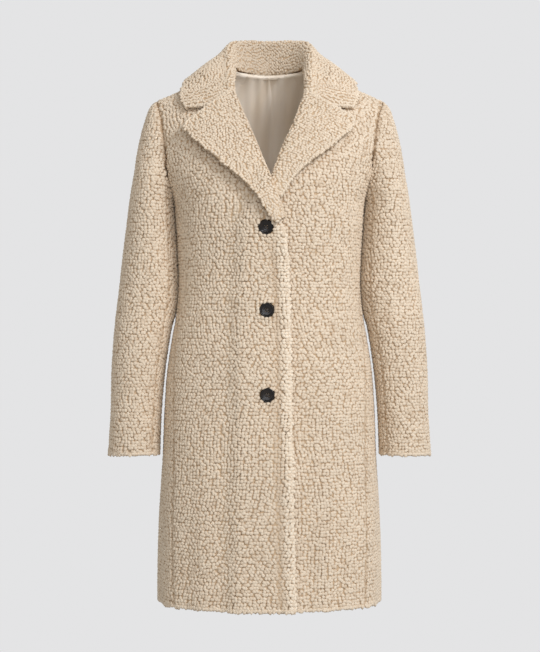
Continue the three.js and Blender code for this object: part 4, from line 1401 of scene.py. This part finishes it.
LOOP = {"half_length": 29.0, "width": 4.6, "sag": 2.6, "thick": 1.4}


def loop_panel():
    """A narrow strip under the back neck seam that hangs by its two ends."""
    x = np.linspace(-1, 1, 60)[None]
    drop = np.linspace(0, LOOP["width"], 6)[:, None]
    z = NECK_BACK_Z - 0.8 - LOOP["sag"] * (1 - np.abs(x) ** 6) - drop
    x = x * LOOP["half_length"] + 0 * z
    flat = body(np.pi - front_angle(x, z), z, LINING_OUT - 1.5 - 2.4)
    flat[..., 0] = x
    flat[..., 2] = z
    return torso_panel("hanger_loop", flat, top="free", bottom="free", first="seam", last="seam")


lining = lining_panel()
pick = np.ix_(np.arange(0, lining.points.shape[0], 2), np.arange(lining.points.shape[1]))
satin_grid = lining.points[pick], lining.normals[pick]
lining_sheet = shell("lining_back_satin", *satin_grid, 0, -SATIN_THICK, [satin])
loop = loop_panel()
loop_strip = shell("hanger_loop_strip", loop.points, loop.normals, 0, -LOOP["thick"], [satin])
print("the lining has", len(LINING_FOLDS["x"]), "folds")

# %% [markdown]
# A coat button is turned from resin: a raised rounded rim, a dished middle and four holes for the
# thread. Its face is a height over a disc, so it is a grid of rings and spokes.

# %% The buttons
BUTTON_THICK = 5.2
HOLE_SPREAD = 2.6
HOLE_RADIUS = 1.15
HOLE_DEPTH = 2.1
STRAND_RADIUS = 0.42
STRAND_APART = 0.35
SPOKES = 64


def button_profile(share):
    """Height of the face over the disc: a dish that climbs to the rim and rolls over its edge."""
    dish = mix(0.56, 0.66, ease(share, 0.1, 0.6))
    rim_height = dish + (1 - dish) * ease(share, 0.62, 0.82)
    return BUTTON_THICK * rim_height * np.sqrt(np.clip(1 - ease(share, 0.84, 1.0) * 0.78, 0, 1))


def button_face():
    """Rings and spokes: the profile less four smooth pits; the pits lie on the diagonals."""
    dish, rise, edge = np.linspace(0.04, 0.4, 20), np.linspace(0.44, 0.84, 10), np.linspace(0.86, 1, 8)
    share = np.concatenate([[0.004], dish, rise, edge])
    angle = np.linspace(0, 2 * np.pi, SPOKES, endpoint=False)
    x = BUTTON_RADIUS * share[:, None] * np.cos(angle)
    y = BUTTON_RADIUS * share[:, None] * np.sin(angle)
    z = np.broadcast_to(button_profile(share)[:, None], x.shape).copy()
    for k in range(4):
        hole = np.pi / 4 + k * np.pi / 2
        away = np.hypot(x - HOLE_SPREAD * np.cos(hole), y - HOLE_SPREAD * np.sin(hole))
        z -= HOLE_DEPTH * (1 - ease(away, HOLE_RADIUS - 0.45, HOLE_RADIUS + 0.25))
    return np.stack([x, y, z], -1)


def ring_quads(rows, sides):
    """Four corners for each cell of a grid whose columns close to a ring."""
    i, j = np.meshgrid(np.arange(rows - 1), np.arange(sides), indexing="ij")
    after = (j + 1) % sides
    corners = (i * sides + j, (i + 1) * sides + j, (i + 1) * sides + after, i * sides + after)
    return np.stack(corners, -1).reshape(-1, 4)


def button_mesh():
    """The face, a rounded back below it, and a cap point in the middle of each."""
    face = button_face()
    back_share = np.array([0.96, 0.86, 0.7, 0.4, 0.05])
    back_height = np.array([0.9, 0.35, 0.05, 0.0, 0.0])
    angle = np.linspace(0, 2 * np.pi, SPOKES, endpoint=False)
    ring = np.stack([np.cos(angle), np.sin(angle), 0 * angle], -1) * BUTTON_RADIUS
    under = ring[None] * back_share[:, None, None] + back_height[:, None, None] * (0, 0, 1)
    grid = np.concatenate([face, under])
    rows = len(grid)
    quads = ring_quads(rows, SPOKES)
    bands = np.concatenate([quads[:, [0, 1, 2]], quads[:, [0, 2, 3]]])
    caps = [grid[0].mean(0), grid[-1].mean(0)]
    points = np.concatenate([grid.reshape(-1, 3), caps])
    spoke = np.arange(SPOKES)
    around = (spoke + 1) % SPOKES
    top = np.stack([spoke, around, np.full(SPOKES, len(points) - 2)], -1)
    base = (rows - 1) * SPOKES
    bottom = np.stack([base + around, base + spoke, np.full(SPOKES, len(points) - 1)], -1)
    return points, np.concatenate([bands, top, bottom])


def button_seat(x, z):
    """The button's back face: on the front, sunk into the pile, with its axis along the normal."""
    x, z = np.array(x), np.array(z)
    skin = front_skin(-1, x, z)
    normal = body_normal(body(front_angle(x, z), z))
    across = unit(np.cross((0.0, 0.0, 1.0), normal))
    turn = np.stack([across, np.cross(normal, across), normal], -1)
    return skin - normal * BUTTON_SUNK, turn


def stitch(start, end, height):
    """A strand between two holes: a half circle of height over the line, as a tube of six sides."""
    t = np.linspace(0, 1, 12)[:, None]
    middle = mix(np.array(start), np.array(end), t) + height * np.sin(np.pi * t) * (0, 0, 1)
    along = unit(np.gradient(middle, axis=0))
    side = unit(np.cross(along, (0.0, 0.0, 1.0)))
    up = np.cross(side, along)
    angle = np.linspace(0, 2 * np.pi, 6, endpoint=False)
    ring = side[:, None] * np.cos(angle)[None, :, None] + up[:, None] * np.sin(angle)[None, :, None]
    return middle[:, None] + STRAND_RADIUS * ring


def thread_mesh():
    """Two pairs of strands that cross in the middle of the button."""
    floor = button_profile(np.array(0.15)) - 0.6
    points, faces = [], []
    for a, shift in ((0, STRAND_APART), (1, STRAND_APART), (0, -STRAND_APART), (1, -STRAND_APART)):
        angle = np.pi / 4 + a * np.pi / 2
        axis = np.array([np.cos(angle), np.sin(angle), 0])
        beside = np.array([-axis[1], axis[0], 0]) * shift
        start = axis * HOLE_SPREAD + beside + (0, 0, floor)
        end = -axis * HOLE_SPREAD + beside + (0, 0, floor)
        tube = stitch(start, end, 1.1 + 0.25 * a)
        rows, sides = tube.shape[:2]
        first = sum(len(p) for p in points)
        quads = ring_quads(rows, sides)[:, [0, 3, 2, 1]] + first
        faces += [quads[:, [0, 1, 2]], quads[:, [0, 2, 3]]]
        spoke = np.arange(1, sides - 1)
        faces.append(first + np.stack([0 * spoke, spoke + 1, spoke], -1))
        faces.append(first + (rows - 1) * sides + np.stack([0 * spoke, spoke, spoke + 1], -1))
        points.append(tube.reshape(-1, 3))
    return np.concatenate(points), np.concatenate(faces)


button_points, button_faces = button_mesh()
thread_points, thread_faces = thread_mesh()
buttons = []
threads = []
for name, (x, z) in BUTTONS.items():
    seat, turn = button_seat(x, z)
    button = to_mesh(f"{name}_resin", seat + button_points @ turn.T, button_faces, [resin])
    strands = to_mesh(f"{name}_thread", seat + thread_points @ turn.T, thread_faces, [thread])
    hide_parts(name)
    buttons.append(button)
    threads.append(strands)
print(len(buttons), "buttons of", 2 * BUTTON_RADIUS, "mm,", len(button_faces), "triangles each")

# %% [markdown]
# The floor is a wide pale disc that curves up all round, so no edge of it shows from any side.

# %% Floor


def floor_mesh():
    """Rings and spokes: flat out to the floor's radius, then a quarter of an oval up to the bowl's."""
    flat = np.linspace(0.01, FLOOR_RADIUS, 12)
    turn = np.linspace(0, np.pi / 2, 24)[1:]
    radius = np.concatenate([flat, FLOOR_RADIUS + (BOWL_RADIUS - FLOOR_RADIUS) * np.sin(turn)])
    height = np.concatenate([0 * flat, BOWL_HEIGHT * (1 - np.cos(turn))]) + FLOOR_Z
    angle = np.linspace(0, 2 * np.pi, 97)
    x, y = radius[:, None] * np.cos(angle), radius[:, None] * np.sin(angle)
    return np.stack([x, y, height[:, None] + 0 * angle], -1)


floor_points = floor_mesh()
floor_faces = grid_faces(*floor_points.shape[:2])
backdrop = {
    "Roughness": 1.0,
    "Specular IOR Level": 0.0,
    "Base Color": (0, 0, 0, 1),
    "Emission Color": (BACKDROP_GREY, BACKDROP_GREY, BACKDROP_GREY * 1.01, 1),
    "Emission Strength": 1.0,
}
floor_material = material("pale_floor", backdrop)[0]
floor = to_mesh("floor", floor_points.reshape(-1, 3) / MM, floor_faces, [floor_material])
floor.visible_diffuse = False
floor.visible_shadow = False
print("the floor is", 2 * FLOOR_RADIUS, "m across")

# %% [markdown]
# Every piece moves with the coat's one body, and the pile of each sheet with it.

for name, made in sheets.items():
    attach(made, "root")
    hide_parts(name)
    for curl_piece in piles[name]:
        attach(curl_piece, "root")

for made, node in ((lining_sheet, "lining_back"), (loop_strip, "hanger_loop")):
    print(node, round(sum(face.area for face in made.data.polygons) / 2, 4), "square metres")
    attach(made, "root")
    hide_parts(node)

for made in buttons + threads:
    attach(made, "root")
